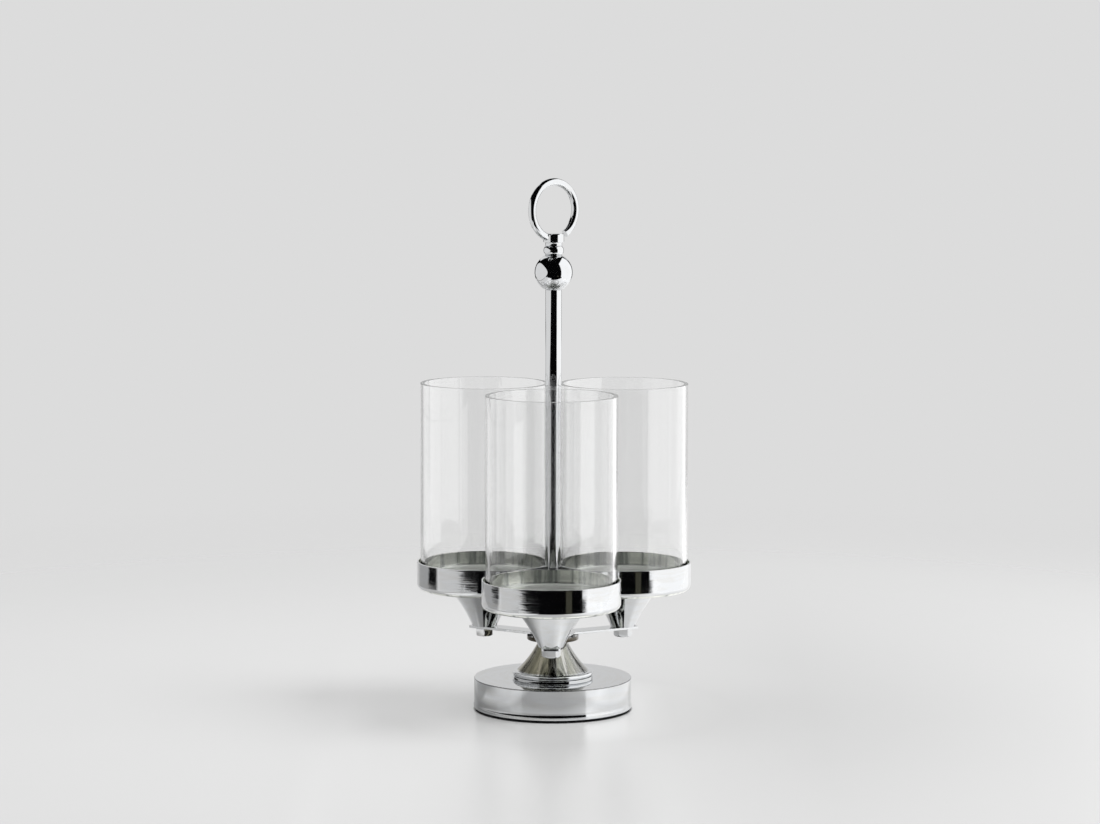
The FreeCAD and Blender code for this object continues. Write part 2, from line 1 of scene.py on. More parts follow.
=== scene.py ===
import math

import bpy
from bpy.props import FloatProperty, FloatVectorProperty, IntProperty, PointerProperty
from mathutils import Matrix, Vector


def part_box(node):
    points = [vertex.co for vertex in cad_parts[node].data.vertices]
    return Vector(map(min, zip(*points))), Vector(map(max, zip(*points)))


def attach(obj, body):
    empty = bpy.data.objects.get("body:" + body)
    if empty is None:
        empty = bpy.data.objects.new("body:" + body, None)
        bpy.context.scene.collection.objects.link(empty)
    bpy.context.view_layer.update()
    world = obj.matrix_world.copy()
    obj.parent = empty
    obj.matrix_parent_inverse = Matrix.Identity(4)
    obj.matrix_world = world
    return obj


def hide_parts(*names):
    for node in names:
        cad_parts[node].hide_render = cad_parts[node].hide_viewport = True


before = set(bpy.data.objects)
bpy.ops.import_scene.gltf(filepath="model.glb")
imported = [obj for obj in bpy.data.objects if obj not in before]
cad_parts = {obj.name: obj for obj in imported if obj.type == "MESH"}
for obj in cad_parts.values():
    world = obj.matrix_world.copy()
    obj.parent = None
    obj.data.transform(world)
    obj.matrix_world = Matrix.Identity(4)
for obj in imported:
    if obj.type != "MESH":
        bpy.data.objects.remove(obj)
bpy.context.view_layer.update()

bl_info = {
    "name": "Candle Holder",
    "version": (1, 0, 0),
    "blender": (4, 5, 0),
    "location": "3D View > Sidebar > Holder",
    "description": "Dresses a three-cup candle holder over its packed frame",
    "category": "Object",
}

MM = 0.001
WELD = 0.001 * MM
FULL_TURN = 2.0 * math.pi
UP = (0.0, 0.0, 1.0)
FLAT = (1.0, 1.0, 0.0)
AXIS = (0.0, 0.0)
# A short straight beside each small round keeps the shading of the plain faces flat.
SHOULDER = 0.15 * MM
# An arc over the sweep radius takes the finer step.
SWEEP_RADIUS = 20 * MM
SWEEP_STEP = math.radians(1.6)
ROUND_STEP = math.radians(9.0)
FEWEST_STEPS = 4
# Steps round the pieces that need more or fewer than the sidebar gives.
FINE_STEPS = 192
CONE_STEPS = 128
THIN_STEPS = 96
HEAD_STEPS = 72
SHANK_STEPS = 36
WIRE_STEPS = 40
RING_STEPS = 152
TABLE_STEPS = 96
HUB_STEPS = 3
# Places of the cups about the rod and turns of the bolt heads, in degrees.
CUP_ANGLES = {"front": -90.0, "right": 30.0, "left": 150.0}
HEAD_TURNS = {"front": 0.0, "right": 4.0, "left": 30.0}
HALF_PITCH = math.radians(60.0)
# How often a mark repeats round the axis and, per metre, along the outline.
FINE_MARKS = (1.3, 900.0)
BROAD_WAVES = (2.4, 160.0)
FILM_ROUND = (2.0, 300.0)
FILM_ALONG = (26.0, 30.0)
REFLECTION_PATCHES = (7.5, 14.0)
GLASS_WAVES = (9.0, 6.0)
BRUSH_MARKS = (3.0, 2500.0)
EDGE_REFLECTION_SHARE = 0.6
SHADED_FLOOR_SHARE = 0.9
WHITE = (1.0, 1.0, 1.0)
BLACK = (0.0, 0.0, 0.0)
DARK_ROOM = (0.0015, 0.0015, 0.0018)
WARM_LIGHT = (1.0, 0.98, 0.72)
# Numbers of the two colour inputs and the colour output of a mix.
FIRST_COLOUR, SECOND_COLOUR, MIXED_COLOUR = 6, 7, 2


def length(name, description, millimetres):
    """A length in the sidebar, written here in millimetres."""
    return FloatProperty(
        name=name, description=description, default=millimetres * MM, min=0.0, precision=5,
        subtype="DISTANCE", unit="LENGTH",
    )


def angle(name, description, degrees):
    """An angle in the sidebar, written here in degrees."""
    return FloatProperty(
        name=name, description=description, default=math.radians(degrees), subtype="ANGLE", unit="ROTATION",
    )


def colour(name, description, red, green, blue):
    """A plain colour in the sidebar."""
    return FloatVectorProperty(
        name=name, description=description, default=(red, green, blue), min=0.0, max=1.0, size=3,
        subtype="COLOR",
    )


def share(name, description, value, most=1.0):
    """A number between zero and its most, without a unit."""
    return FloatProperty(
        name=name, description=description, default=value, min=0.0, max=most, precision=3,
        subtype="FACTOR",
    )


class HolderSizes(bpy.types.PropertyGroup):
    """Lengths of the visible pieces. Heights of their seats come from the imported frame."""

    felt_edge: length("Felt edge", "Round at the edge of the felt", 0.3)
    shell_wall: length("Shell wall", "Wall of the base shell", 1.0)
    shell_round: length("Shell round", "Round at the top edge of the base", 0.6)
    shell_inner: length("Shell inner round", "Round inside the top edge of the base", 0.4)
    shell_foot: length("Shell foot", "Round at the lower edge of the base", 0.4)
    hem_proud: length("Hem step", "How far the hem of the base stands out", 0.3)
    hem_height: length("Hem height", "Height of the hem of the base", 1.6)
    hem_hollow: length("Hem hollow", "Height of the hollow over the hem", 3.0)
    hem_round: length("Hem hollow radius", "Radius of the hollow over the hem", 15.2)
    bolt_hole: length("Bolt hole", "Radius of the holes for the rods", 3.3)
    foot_inner: length("Foot ring bore", "Inner radius of the foot ring", 20.65)
    foot_round: length("Foot ring round", "Round at the top of the foot ring", 0.3)
    bead: length("Pedestal bead", "Radius of the bead at the skirt", 1.55)
    bead_hem: length("Bead hem", "Width of the flat foot inside the bead", 2.4)
    crease: length("Bead crease", "Step from the bead to the flare", 1.05)
    flare: length("Pedestal flare", "Radius of the hollow flare", 62.0)
    pedestal_top: length("Pedestal top", "Radius of the small end", 8.3)
    spun_wall: length("Spun wall", "Wall of the pedestal and the cones", 1.2)
    spun_cap: length("Spun cap", "Thickness of a trumpet's small end", 1.5)
    hub_round: length("Hub round", "Round at the lower edge of the hub", 0.5)
    light_edge: length("Light edge", "Small round of the turned ends", 0.15)
    plate_hub: length("Plate hub", "Radius of the plate's middle", 13.0)
    plate_root: length("Arm root", "Round between two arms", 4.0)
    plate_edge: length("Plate edge", "Broken edge of the stamped plate", 0.18)
    arm_width: length("Arm width", "Width of an arm", 11.5)
    arm_reach: length("Arm reach", "Length of an arm from the middle", 58.5)
    arm_corner: length("Arm corner", "Round at the corners of an arm", 1.5)
    cup_circle: length("Cup circle", "Radius on which the cups stand", 49.9985)
    cone_foot: length("Cone foot", "Radius of a cone's small end", 7.6)
    cone_mouth: length("Cone mouth", "Radius of a cone's wide end", 22.4)
    cone_flare: length("Cone flare", "Radius of a cone's hollow side", 80.0)
    dish_wall: length("Dish wall", "Wall of a dish", 1.0)
    dish_corner: length("Dish corner", "Round at the foot of a dish", 3.5)
    dish_rim: length("Dish rim", "Round at the rim of a dish", 0.3)
    pan_wall: length("Pan wall", "Wall of the pan in a dish", 0.8)
    pan_floor: length("Pan floor", "Radius of the sunk floor", 36.8)
    pan_step: length("Pan step", "Width of the step round the floor", 0.4)
    pan_step_edge: length("Pan step edge", "Round at the top of the step", 0.12)
    pan_sink: length("Pan sink", "Depth of the floor under the seat", 0.6)
    pan_lip: length("Pan lip", "Height of the upright edge", 2.0)
    pan_edge: length("Pan edge", "Round at the top of the upright edge", 0.25)
    pan_foot: length("Pan foot", "Radius of the pan's foot", 38.4)
    glass_wall: length("Glass wall", "Wall of a chimney", 2.4)
    glass_rim: length("Glass rim", "Melted round of a chimney's rim", 0.3)
    rod_wall: length("Rod wall", "Wall of the centre rod", 1.0)
    ball: length("Ball", "Radius of the ball", 11.75)
    bead_round: length("Bead round", "Round of the bead over the ball", 3.9)
    bead_top: length("Bead top", "Radius of the bead's upper face", 4.9)
    stud_hole: length("Stud hole", "Radius of the hole for the stud", 2.6)
    stud_depth: length("Stud depth", "Height of the stud's hole in the collar", 5.8)
    neck: length("Collar neck", "Radius of the collar's foot", 5.3)
    neck_height: length("Neck height", "Height of the collar's neck", 2.2)
    neck_round: length("Neck round", "Hollow round of the neck", 2.0)
    collar: length("Collar", "Radius of the collar", 6.4)
    collar_lip: length("Collar lip", "Overhang of the collar over its neck", 0.7)
    collar_chamfer: length("Collar chamfer", "Chamfer at the top of the collar", 0.5)
    ring: length("Ring", "Radius of the carrying ring", 17.2)
    wire: length("Ring wire", "Radius of the ring's wire", 2.35)
    ring_gap: length("Ring gap", "Half the gap between the wire's ends", 3.1)
    ring_turn: angle("Ring turn", "Turn of the ring about the rod", 41.5)
    head_corner: length("Head corner", "Radius over the corners of a bolt head", 5.77)
    head_height: length("Head height", "Height of a bolt head", 4.8)
    head_face: length("Head face", "Radius of the round face of a head", 4.85)
    head_edge: length("Head edge", "Broken edge of a bolt head", 0.12)
    shank: length("Shank", "Radius of a bolt's shank", 3.0)
    shank_chamfer: length("Shank chamfer", "Chamfer at the end of a shank", 0.5)
    turns: IntProperty(
        name="Round steps", description="Steps of a full turn for the large pieces", default=160, min=24,
        subtype="UNSIGNED",
    )


class HolderFinishes(bpy.types.PropertyGroup):
    """Colours and gloss of the finishes."""

    chrome: colour("Chrome", "Colour of the bright plate", 0.66, 0.672, 0.685)
    chrome_warm: colour("Warm film", "Colour of the faint film on the plate", 0.56, 0.53, 0.47)
    # On the pedestal this dark colour is part film and part painted dark reflection, heavier on the left.
    film_and_dark_reflection: colour("Dark film", "Colour of the film on the pedestal", 0.27, 0.255, 0.20)
    chrome_gloss: share("Chrome roughness", "Roughness of the bright plate", 0.035)
    pedestal_gloss: share("Pedestal roughness", "Roughness of the pedestal", 0.09)
    # The whole hub disc takes this near-black brown as its metal colour.
    hub: colour("Hub", "Colour of the plate on the hub disc", 0.05, 0.042, 0.03)
    # A painted dark reflection, shown as a thin line along the top edge of the base.
    edge_dark_reflection: colour("Edge line", "Colour of the dark line at the top edge of the base", 0.07, 0.07, 0.075)
    dish_gloss: share("Dish roughness", "Roughness of the drawn dishes", 0.045)
    # Painted reflections: the pale and dark patches on the inner walls of the dishes.
    dish_pale_reflection: colour("Dish patches", "Colour of the pale patches inside the dishes", 0.93, 0.94, 0.88)
    dish_dark_reflection: colour("Dish dull", "Colour of the dull patches inside the dishes", 0.38, 0.40, 0.38)
    pan: colour("Pan", "Colour of the duller pan", 0.90, 0.925, 0.885)
    pan_gloss: share("Pan roughness", "Roughness of the duller pan", 0.36)
    pan_film: colour("Pan film", "Colour of the stains in the pan", 0.42, 0.46, 0.38)
    # Painted shade on the pan's floor near its front edge.
    pan_painted_shade: colour("Pan dull", "Colour of the pan near its front edge", 0.10, 0.11, 0.10)
    pan_metal: share("Pan metal", "Share of bright metal in the duller pan", 0.58)
    felt: colour("Felt", "Colour of the felt", 0.010, 0.010, 0.011)
    felt_fibre: colour("Felt fibre", "Colour of the loose fibres", 0.03, 0.03, 0.033)
    glass: colour("Glass", "Colour of the glass", 0.996, 0.997, 0.9965)
    # The pale rims of the glass are painted light, in place of light that the wall carries to them.
    glass_painted_rim: colour("Ground rim", "Colour of the ground rims of the glass", 0.86, 0.875, 0.87)
    zinc: colour("Zinc", "Colour of the plated nuts inside", 0.62, 0.63, 0.65)
    iron: colour("Iron", "Colour of the weight inside", 0.11, 0.108, 0.105)


class HolderStage(bpy.types.PropertyGroup):
    """The table, the studio round it and the camera."""

    table_radius: length("Table radius", "Radius of the table top", 1600.0)
    backdrop: share("Backdrop", "Grey of the background", 0.716)
    # The table is painted paler on the left and darker on the right, as painted light.
    table_left: share("Table left", "Grey of the table top on the left", 0.76)
    table_right: share("Table right", "Grey of the table top on the right", 0.61)
    table_far: share("Table far", "Grey of the table top far from the holder", 0.73)
    fill: share("Fill", "Strength of the light from all round", 0.80, 4.0)
    left_panel: share("Left panel", "Brightness of the left panel in reflections", 0.95, 8.0)
    right_panel: share("Right panel", "Brightness of the right panel in reflections", 1.38, 8.0)
    lens: FloatProperty(
        name="Lens", description="Focal length of the camera", default=112.42, min=1.0,
        subtype="DISTANCE_CAMERA", unit="CAMERA",
    )
    camera_distance: length("Camera distance", "From the rod's axis to the camera", 2100.0)
    camera_height: length("Camera height", "From the table to the camera", 414.485)
    camera_left: length("Camera left", "From the middle of the view to the camera", 1.764)
    camera_round: angle("Camera round", "Turn of the camera's place about the rod", 1.2)
    camera_turn: angle("Camera turn", "Turn of the camera to its left", 1.208)
    camera_pitch: angle("Camera pitch", "Tilt of the camera, downward", 6.241)
    camera_roll: angle("Camera roll", "Roll of the camera", 0.115)


# Working by hand: small steps that every piece uses

def put_down():
    """Leave edit mode and select nothing."""
    if bpy.context.mode != "OBJECT":
        bpy.ops.object.mode_set(mode="OBJECT")
    bpy.ops.object.select_all(action="DESELECT")


def take(piece):
    """Select one piece and nothing else."""
    put_down()
    piece.select_set(True)
    bpy.context.view_layer.objects.active = piece


def close_up(piece, crease=35.0):
    """Merge doubles, point the faces out, smooth the rounds and bring the origin home."""
    bpy.ops.mesh.select_all(action="SELECT")
    bpy.ops.mesh.remove_doubles(threshold=WELD)
    bpy.ops.mesh.normals_make_consistent(inside=False)
    take(piece)
    bpy.ops.object.transform_apply(location=True, rotation=True, scale=True)
    bpy.ops.object.shade_smooth_by_angle(angle=math.radians(crease))


def break_edges(piece, width, segments, sharpest):
    """Bevel the edges that turn by more than an angle in degrees."""
    edge = piece.modifiers.new("broken_edge", "BEVEL")
    edge.width, edge.segments, edge.limit_method = width, segments, "ANGLE"
    edge.angle_limit = math.radians(sharpest)
    take(piece)
    bpy.ops.object.modifier_apply(modifier=edge.name)


def arc_points(start, finish, radius):
    """Points between two ends of an arc. It turns left for a positive radius, right for a negative one."""
    start, finish = Vector(start), Vector(finish)
    chord = finish - start
    rise = math.sqrt(max(radius ** 2 - (chord.length / 2) ** 2, 0.0))
    side = Vector((-chord.y, chord.x)).normalized() * math.copysign(rise, radius)
    centre = (start + finish) / 2 + side
    sweep = 2 * math.asin(min(chord.length / 2 / abs(radius), 1.0)) * math.copysign(1.0, radius)
    step = SWEEP_STEP if abs(radius) > SWEEP_RADIUS else ROUND_STEP
    count = max(int(math.ceil(abs(sweep) / step)), FEWEST_STEPS)
    spoke = start - centre
    return [tuple(centre + Matrix.Rotation(sweep * index / count, 2) @ spoke) for index in range(1, count)]


def trace(corners):
    """Points of a closed outline. A corner is radius and height, its round and the arc that leads to it."""
    plain = [Vector(corner[:2]) for corner in corners]
    points = []
    for index, corner in enumerate(corners):
        size, bow = (*corner[2:], 0.0, 0.0)[:2]
        if bow:
            points += arc_points(plain[index - 1], plain[index], bow)
        if not size:
            points.append(tuple(plain[index]))
            continue
        before = (plain[index - 1] - plain[index]).normalized()
        after = (plain[(index + 1) % len(corners)] - plain[index]).normalized()
        reach = size / math.tan(before.angle(after) / 2)
        first, last = plain[index] + before * reach, plain[index] + after * reach
        turn = before.x * after.y - before.y * after.x
        points += [tuple(first + before * SHOULDER), tuple(first)]
        points += arc_points(first, last, math.copysign(size, -turn))
        points += [tuple(last), tuple(last + after * SHOULDER)]
    return points


def pull_out(name, points):
    """Pull a single point from place to place. The line stays selected, in edit mode."""
    put_down()
    bpy.ops.mesh.primitive_plane_add(size=MM, location=points[0])
    piece = bpy.context.object
    piece.name = piece.data.name = name
    take(piece)
    bpy.ops.object.mode_set(mode="EDIT")
    bpy.ops.mesh.select_all(action="SELECT")
    bpy.ops.mesh.merge(type="CENTER")
    bpy.ops.mesh.select_all(action="SELECT")
    place = Vector(points[0])
    for goal in map(Vector, points[1:]):
        bpy.ops.mesh.extrude_region_move(TRANSFORM_OT_translate={"value": goal - place})
        place = goal
    bpy.ops.mesh.select_all(action="SELECT")
    return piece


def turn_piece(name, corners, seat, centre=AXIS, steps=None, crease=35.0):
    """Draw an outline from a single point, spin it a full turn on its own axis and close it up."""
    points = [(centre[0] + radius, centre[1], seat + height) for radius, height in trace(corners)]
    solid = corners[0][0] == 0.0 and corners[-1][0] == 0.0
    piece = pull_out(name, points if solid else points + points[:1])
    bpy.ops.mesh.remove_doubles(threshold=WELD)
    bpy.ops.mesh.select_all(action="SELECT")
    bpy.ops.mesh.spin(
        steps=steps or bpy.context.scene.holder_sizes.turns, angle=FULL_TURN,
        center=(centre[0], centre[1], 0.0), axis=UP)
    close_up(piece, crease)
    return piece


def settle(piece, finish, slot, body, *nodes):
    """Give a finished piece its material, its body and the nodes that it stands for."""
    piece.data.materials.clear()
    piece.data.materials.append(finish)
    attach(piece, body)
    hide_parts(*nodes)


def plate_piece(piece, node, **looks):
    """Give a piece of the stand its own bright plate."""
    settle(piece, bright_chrome(piece.name, **looks), "chrome", "stand", node)


def cup_centre(cup):
    turn = math.radians(CUP_ANGLES[cup])
    return Vector((math.cos(turn), math.sin(turn), 0.0)) * bpy.context.scene.holder_sizes.cup_circle


def copy_to_cups(piece, stem, make_finish, slot="chrome", own_body=False, **looks):
    """Copy the front piece to all three cups, each with its own mesh and finish, and settle the copies."""
    for cup in CUP_ANGLES:
        centre = cup_centre(cup)
        take(piece)
        bpy.ops.object.duplicate(linked=False)
        twin = bpy.context.object
        twin.name = twin.data.name = "%s_%s" % (piece.name, cup)
        bpy.ops.transform.translate(value=centre - cup_centre("front"))
        bpy.ops.object.transform_apply(location=True, rotation=True, scale=True)
        body = cup + "_glass" if own_body else "stand"
        settle(twin, make_finish(twin.name, centre, **looks), slot, body, "%s_%s" % (stem, cup))
    bpy.data.meshes.remove(piece.data)


def top_of(node):
    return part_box(node)[1].z


def measures(node):
    """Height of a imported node's underside, its own height and its radius."""
    low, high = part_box(node)
    return low.z, high.z - low.z, (high.x - low.x) / 2


# Finishes

class Level:
    """A number that the nodes of a finish work out. Sums and products of levels set down their own nodes."""

    def __init__(self, tree, socket):
        self.tree, self.socket = tree, socket

    def __add__(self, other):
        return work(self.tree, "ADD", self, other)

    def __sub__(self, other):
        return work(self.tree, "SUBTRACT", self, other)

    def __rsub__(self, other):
        return work(self.tree, "SUBTRACT", other, self)

    def __mul__(self, other):
        return work(self.tree, "MULTIPLY", self, other)

    def __abs__(self):
        return work(self.tree, "ABSOLUTE", self)

    def or_more(self, other):
        return work(self.tree, "MAXIMUM", self, other)

    def over(self, other):
        return work(self.tree, "GREATER_THAN", self, other)

    def ramp(self, low, high, to_low, to_high, way="LINEAR"):
        """Spread from one range to another, held at both ends."""
        node = add_node(self.tree, "ShaderNodeMapRange", {
            "Value": self, "From Min": low, "From Max": high, "To Min": to_low, "To Max": to_high,
        }, interpolation_type=way)
        return Level(self.tree, node.outputs["Result"])


def feed(tree, value, socket):
    """Link a worked-out value to a socket, or write a plain one on it."""
    value = getattr(value, "socket", value)
    if isinstance(value, bpy.types.NodeSocket):
        tree.links.new(value, socket)
    else:
        socket.default_value = value


def add_node(tree, kind, values=(), **settings):
    """A node with its settings, and its inputs by name or number."""
    node = tree.nodes.new(kind)
    for setting, value in settings.items():
        setattr(node, setting, value)
    for socket, value in dict(values).items():
        feed(tree, value, node.inputs[socket])
    return node


def work(tree, operation, *values):
    """A sum, product or the like of one or two numbers."""
    return Level(tree, add_node(tree, "ShaderNodeMath", enumerate(values), operation=operation).outputs[0])


def vector_node(tree, operation, *values):
    """A vector made from one or two others, or its length."""
    node = add_node(tree, "ShaderNodeVectorMath", enumerate(values), operation=operation)
    return node.outputs["Value" if operation == "LENGTH" else "Vector"]


def clean_tree(owner):
    """Empty node tree of a material or a world."""
    owner.use_nodes = True
    owner.node_tree.nodes.clear()
    return owner.node_tree


def dress(tree, shader, **values):
    """Feed the shader's inputs, whose names are given with underscores."""
    for name, value in values.items():
        feed(tree, value, shader.inputs[name.replace("_", " ")])


def new_finish(name, **values):
    """A material of one Principled shader."""
    finish = bpy.data.materials.new(name)
    tree = clean_tree(finish)
    output = add_node(tree, "ShaderNodeOutputMaterial")
    shader = add_node(tree, "ShaderNodeBsdfPrincipled")
    dress(tree, shader, **values)
    tree.links.new(shader.outputs[0], output.inputs[0])
    return finish, tree, shader


def centred(tree, centre=AXIS):
    """Object coordinates counted from a piece's own axis."""
    place = add_node(tree, "ShaderNodeTexCoord").outputs["Object"]
    shift = (-centre[0], -centre[1], 0.0)
    return add_node(tree, "ShaderNodeMapping", {"Vector": place, "Location": shift}).outputs["Vector"]


def axes(tree, place):
    """The three coordinates of a place."""
    node = add_node(tree, "ShaderNodeSeparateXYZ", {0: place})
    return [Level(tree, socket) for socket in node.outputs]


def off_axis(tree, place):
    """Distance from the upright axis."""
    return Level(tree, vector_node(tree, "LENGTH", vector_node(tree, "MULTIPLY", place, FLAT)))


def lathe_space(tree, place, slope, marks):
    """Coordinates slow round the axis and fast along height plus a share, the slope, of the radius."""
    round_scale, along_scale = marks
    way = vector_node(tree, "NORMALIZE", vector_node(tree, "MULTIPLY", place, FLAT))
    along = (off_axis(tree, place) * slope + axes(tree, place)[2]) * along_scale
    lift = add_node(tree, "ShaderNodeCombineXYZ", {"Z": along})
    return vector_node(tree, "ADD", vector_node(tree, "MULTIPLY", way, (round_scale,) * 3), lift.outputs[0])


def noise(tree, place, scale, detail=2.0, roughness=0.5, distortion=0.0):
    node = add_node(tree, "ShaderNodeTexNoise", {
        "Vector": place, "Scale": scale, "Detail": detail, "Roughness": roughness, "Distortion": distortion,
    })
    return Level(tree, node.outputs["Fac"])


def blend_colours(tree, factor, first, second):
    node = add_node(tree, "ShaderNodeMix", {"Factor": factor}, data_type="RGBA")
    for index, value in ((FIRST_COLOUR, first), (SECOND_COLOUR, second)):
        feed(tree, value if hasattr(value, "is_linked") else (*value, 1.0), node.inputs[index])
    return node.outputs[MIXED_COLOUR]


def add_bumps(tree, shader, *layers):
    """Stack bumps, each a height, a strength and a depth in metres."""
    for height, strength, depth in layers:
        node = add_node(tree, "ShaderNodeBump", {"Height": height, "Strength": strength, "Distance": depth})
        for link in shader.inputs["Normal"].links:
            tree.links.new(link.from_socket, node.inputs["Normal"])
        tree.links.new(node.outputs["Normal"], shader.inputs["Normal"])


def bright_chrome(name, centre=AXIS, slope=0.0, marks=0.25, waves=0.25, film=0.25, film_marks=FILM_ROUND,
                  film_colour=None, plate=None, gloss=None, metal=1.0, film_from=None, line=None,
                  inside=None, dull_from=None):
    """Polished plate over turned metal: fine turning marks, a faint waviness and a thin uneven film."""
    looks = bpy.context.scene.holder_finishes
    gloss = gloss or looks.chrome_gloss
    finish, tree, shader = new_finish(name + "_chrome", Metallic=metal)
    place = centred(tree, centre)
    x, y, z = axes(tree, place)
    fine = noise(tree, lathe_space(tree, place, slope, FINE_MARKS), 1.0, 3.0, 0.6)
    broad = noise(tree, lathe_space(tree, place, slope, BROAD_WAVES), 1.0, 1.5, 0.45)
    cloud = noise(tree, lathe_space(tree, place, slope, film_marks), 1.0, 3.0, 0.62, 0.4)
    film_share = cloud.ramp(0.42, 0.72, 0.0, film)
    if film_from is not None:
        # Over this height the dark colour is thick, part film and part painted dark reflection, and the
        # painted reflection makes it thicker still on the left side.
        film_and_reflection_share = film_share * 0.4 + x.ramp(-2 * MM, 5 * MM, 0.95, 0.42)
        film_share = z.ramp(film_from, film_from + MM, 0.0, 1.0) * film_and_reflection_share
    skin = blend_colours(tree, film_share, plate or looks.chrome, film_colour or looks.chrome_warm)
    if line is not None:
        # A painted dark reflection runs round at this height as a thin line.
        drawn = abs(z - line).ramp(0.15 * MM, 0.28 * MM, 0.8, 0.0)
        skin = blend_colours(tree, drawn, skin, looks.edge_dark_reflection)
    if inside is not None:
        # The wall inside this radius is blotched with painted pale and dark reflections.
        blotch = noise(tree, lathe_space(tree, place, 0.0, REFLECTION_PATCHES), 1.0).ramp(0.34, 0.50, 0.0, 1.0)
        painted_reflections = blend_colours(tree, blotch, looks.dish_dark_reflection, looks.dish_pale_reflection)
        inner = off_axis(tree, place).ramp(inside, inside + 0.2 * MM, 1.0, 0.0)
        skin = blend_colours(tree, inner, skin, painted_reflections)
    if dull_from is not None:
        # Painted shade darkens the floor from here towards the front, most of all on its right.
        dull = y.ramp(dull_from - 10 * MM, dull_from, 1.0, 0.0) * x.ramp(-20 * MM, 0.0, 0.1, 0.4)
        skin = blend_colours(tree, dull, skin, looks.pan_painted_shade)
    dust = noise(tree, place, 900.0, 2.0, 0.7).ramp(0.5, 0.8, 0.0, 0.05)
    rough = cloud.ramp(0.3, 0.8, gloss * 0.6, gloss * 2.2) + dust
    dress(tree, shader, Base_Color=skin, Roughness=rough)
    add_bumps(tree, shader, (broad, waves, 0.12 * MM), (fine, marks, 0.02 * MM))
    return finish


def pressed_felt():
    """Short black wool, pressed flat, with paler loose fibres."""
    looks = bpy.context.scene.holder_finishes
    finish, tree, shader = new_finish(
        "felt_pressed", Roughness=0.95, Specular_IOR_Level=0.1, Sheen_Weight=0.03, Sheen_Roughness=0.5)
    place = centred(tree)
    matted = noise(tree, place, 420.0, 5.0, 0.7, 1.2)
    fibre = noise(tree, place, 2600.0, 3.0, 0.75, 2.5)
    shown = fibre.ramp(0.52, 0.74, 0.0, 1.0)
    dress(tree, shader, Base_Color=blend_colours(tree, shown, looks.felt, looks.felt_fibre))
    add_bumps(tree, shader, (matted, 0.5, 0.3 * MM), (fibre, 0.7, 0.12 * MM))
    return finish


def clear_glass(name, centre):
    """Drawn tube glass: clear, with a faint length-wise waver and slightly cloudy cut ends painted pale as
    light that the wall carries to them.
    """
    looks = bpy.context.scene.holder_finishes
    finish, tree, shader = new_finish(name + "_clear", Roughness=0.0, IOR=1.5, Transmission_Weight=1.0)
    place = centred(tree, centre)
    waver = noise(tree, lathe_space(tree, place, 0.0, GLASS_WAVES), 1.0, 1.0, 0.4)
    tint = noise(tree, place, 18.0).ramp(0.3, 0.7, 0.0, 1.0)
    clear = blend_colours(tree, tint, looks.glass, tuple(channel * 0.99 for channel in looks.glass))
    # The cut ends show as a pale line of painted light, in place of light that the wall carries to them.
    bottom, height, _ = measures("glass_front")
    from_middle = abs(axes(tree, place)[2] - (bottom + height / 2))
    painted_rim_light = from_middle.ramp(height / 2 - 0.35 * MM, height / 2 - 0.1 * MM, 0.0, 1.0)
    dress(
        tree, shader, Base_Color=blend_colours(tree, painted_rim_light, clear, looks.glass_painted_rim),
        Transmission_Weight=painted_rim_light.ramp(0.0, 1.0, 1.0, 0.75), Roughness=painted_rim_light.ramp(0.0, 1.0, 0.0, 0.25))
    add_bumps(tree, shader, (waver, 0.15, 0.05 * MM))
    return finish


def plated_zinc():
    """Dull plate on the nuts and rods that stay hidden inside."""
    zinc = bpy.context.scene.holder_finishes.zinc
    finish, tree, shader = new_finish("zinc_plated", Metallic=1.0)
    place = centred(tree)
    spangle = noise(tree, place, 700.0, 3.0, 0.6)
    scratch = noise(tree, lathe_space(tree, place, 0.3, BRUSH_MARKS), 1.0, 2.0, 0.6)
    grey = tuple(channel * 0.8 for channel in zinc)
    dress(
        tree, shader, Base_Color=blend_colours(tree, spangle.ramp(0.3, 0.7, 0.0, 1.0), zinc, grey),
        Roughness=spangle.ramp(0.3, 0.7, 0.28, 0.5))
    add_bumps(tree, shader, (scratch, 0.3, 0.02 * MM))
    return finish


def cast_iron():
    """The rough skin of the casting in the base."""
    iron = bpy.context.scene.holder_finishes.iron
    finish, tree, shader = new_finish("iron_cast", Metallic=0.6, Roughness=0.8)
    place = centred(tree)
    grain = noise(tree, place, 900.0, 4.0, 0.7)
    pits = noise(tree, place, 260.0, 3.0, 0.6)
    rusty = tuple(channel * factor for channel, factor in zip(iron, (1.5, 1.1, 0.8)))
    dress(tree, shader, Base_Color=blend_colours(tree, pits.ramp(0.5, 0.75, 0.0, 1.0), iron, rusty))
    add_bumps(tree, shader, (pits, 0.5, 0.3 * MM), (grain, 0.5, 0.1 * MM))
    return finish


# The pieces, from the table up

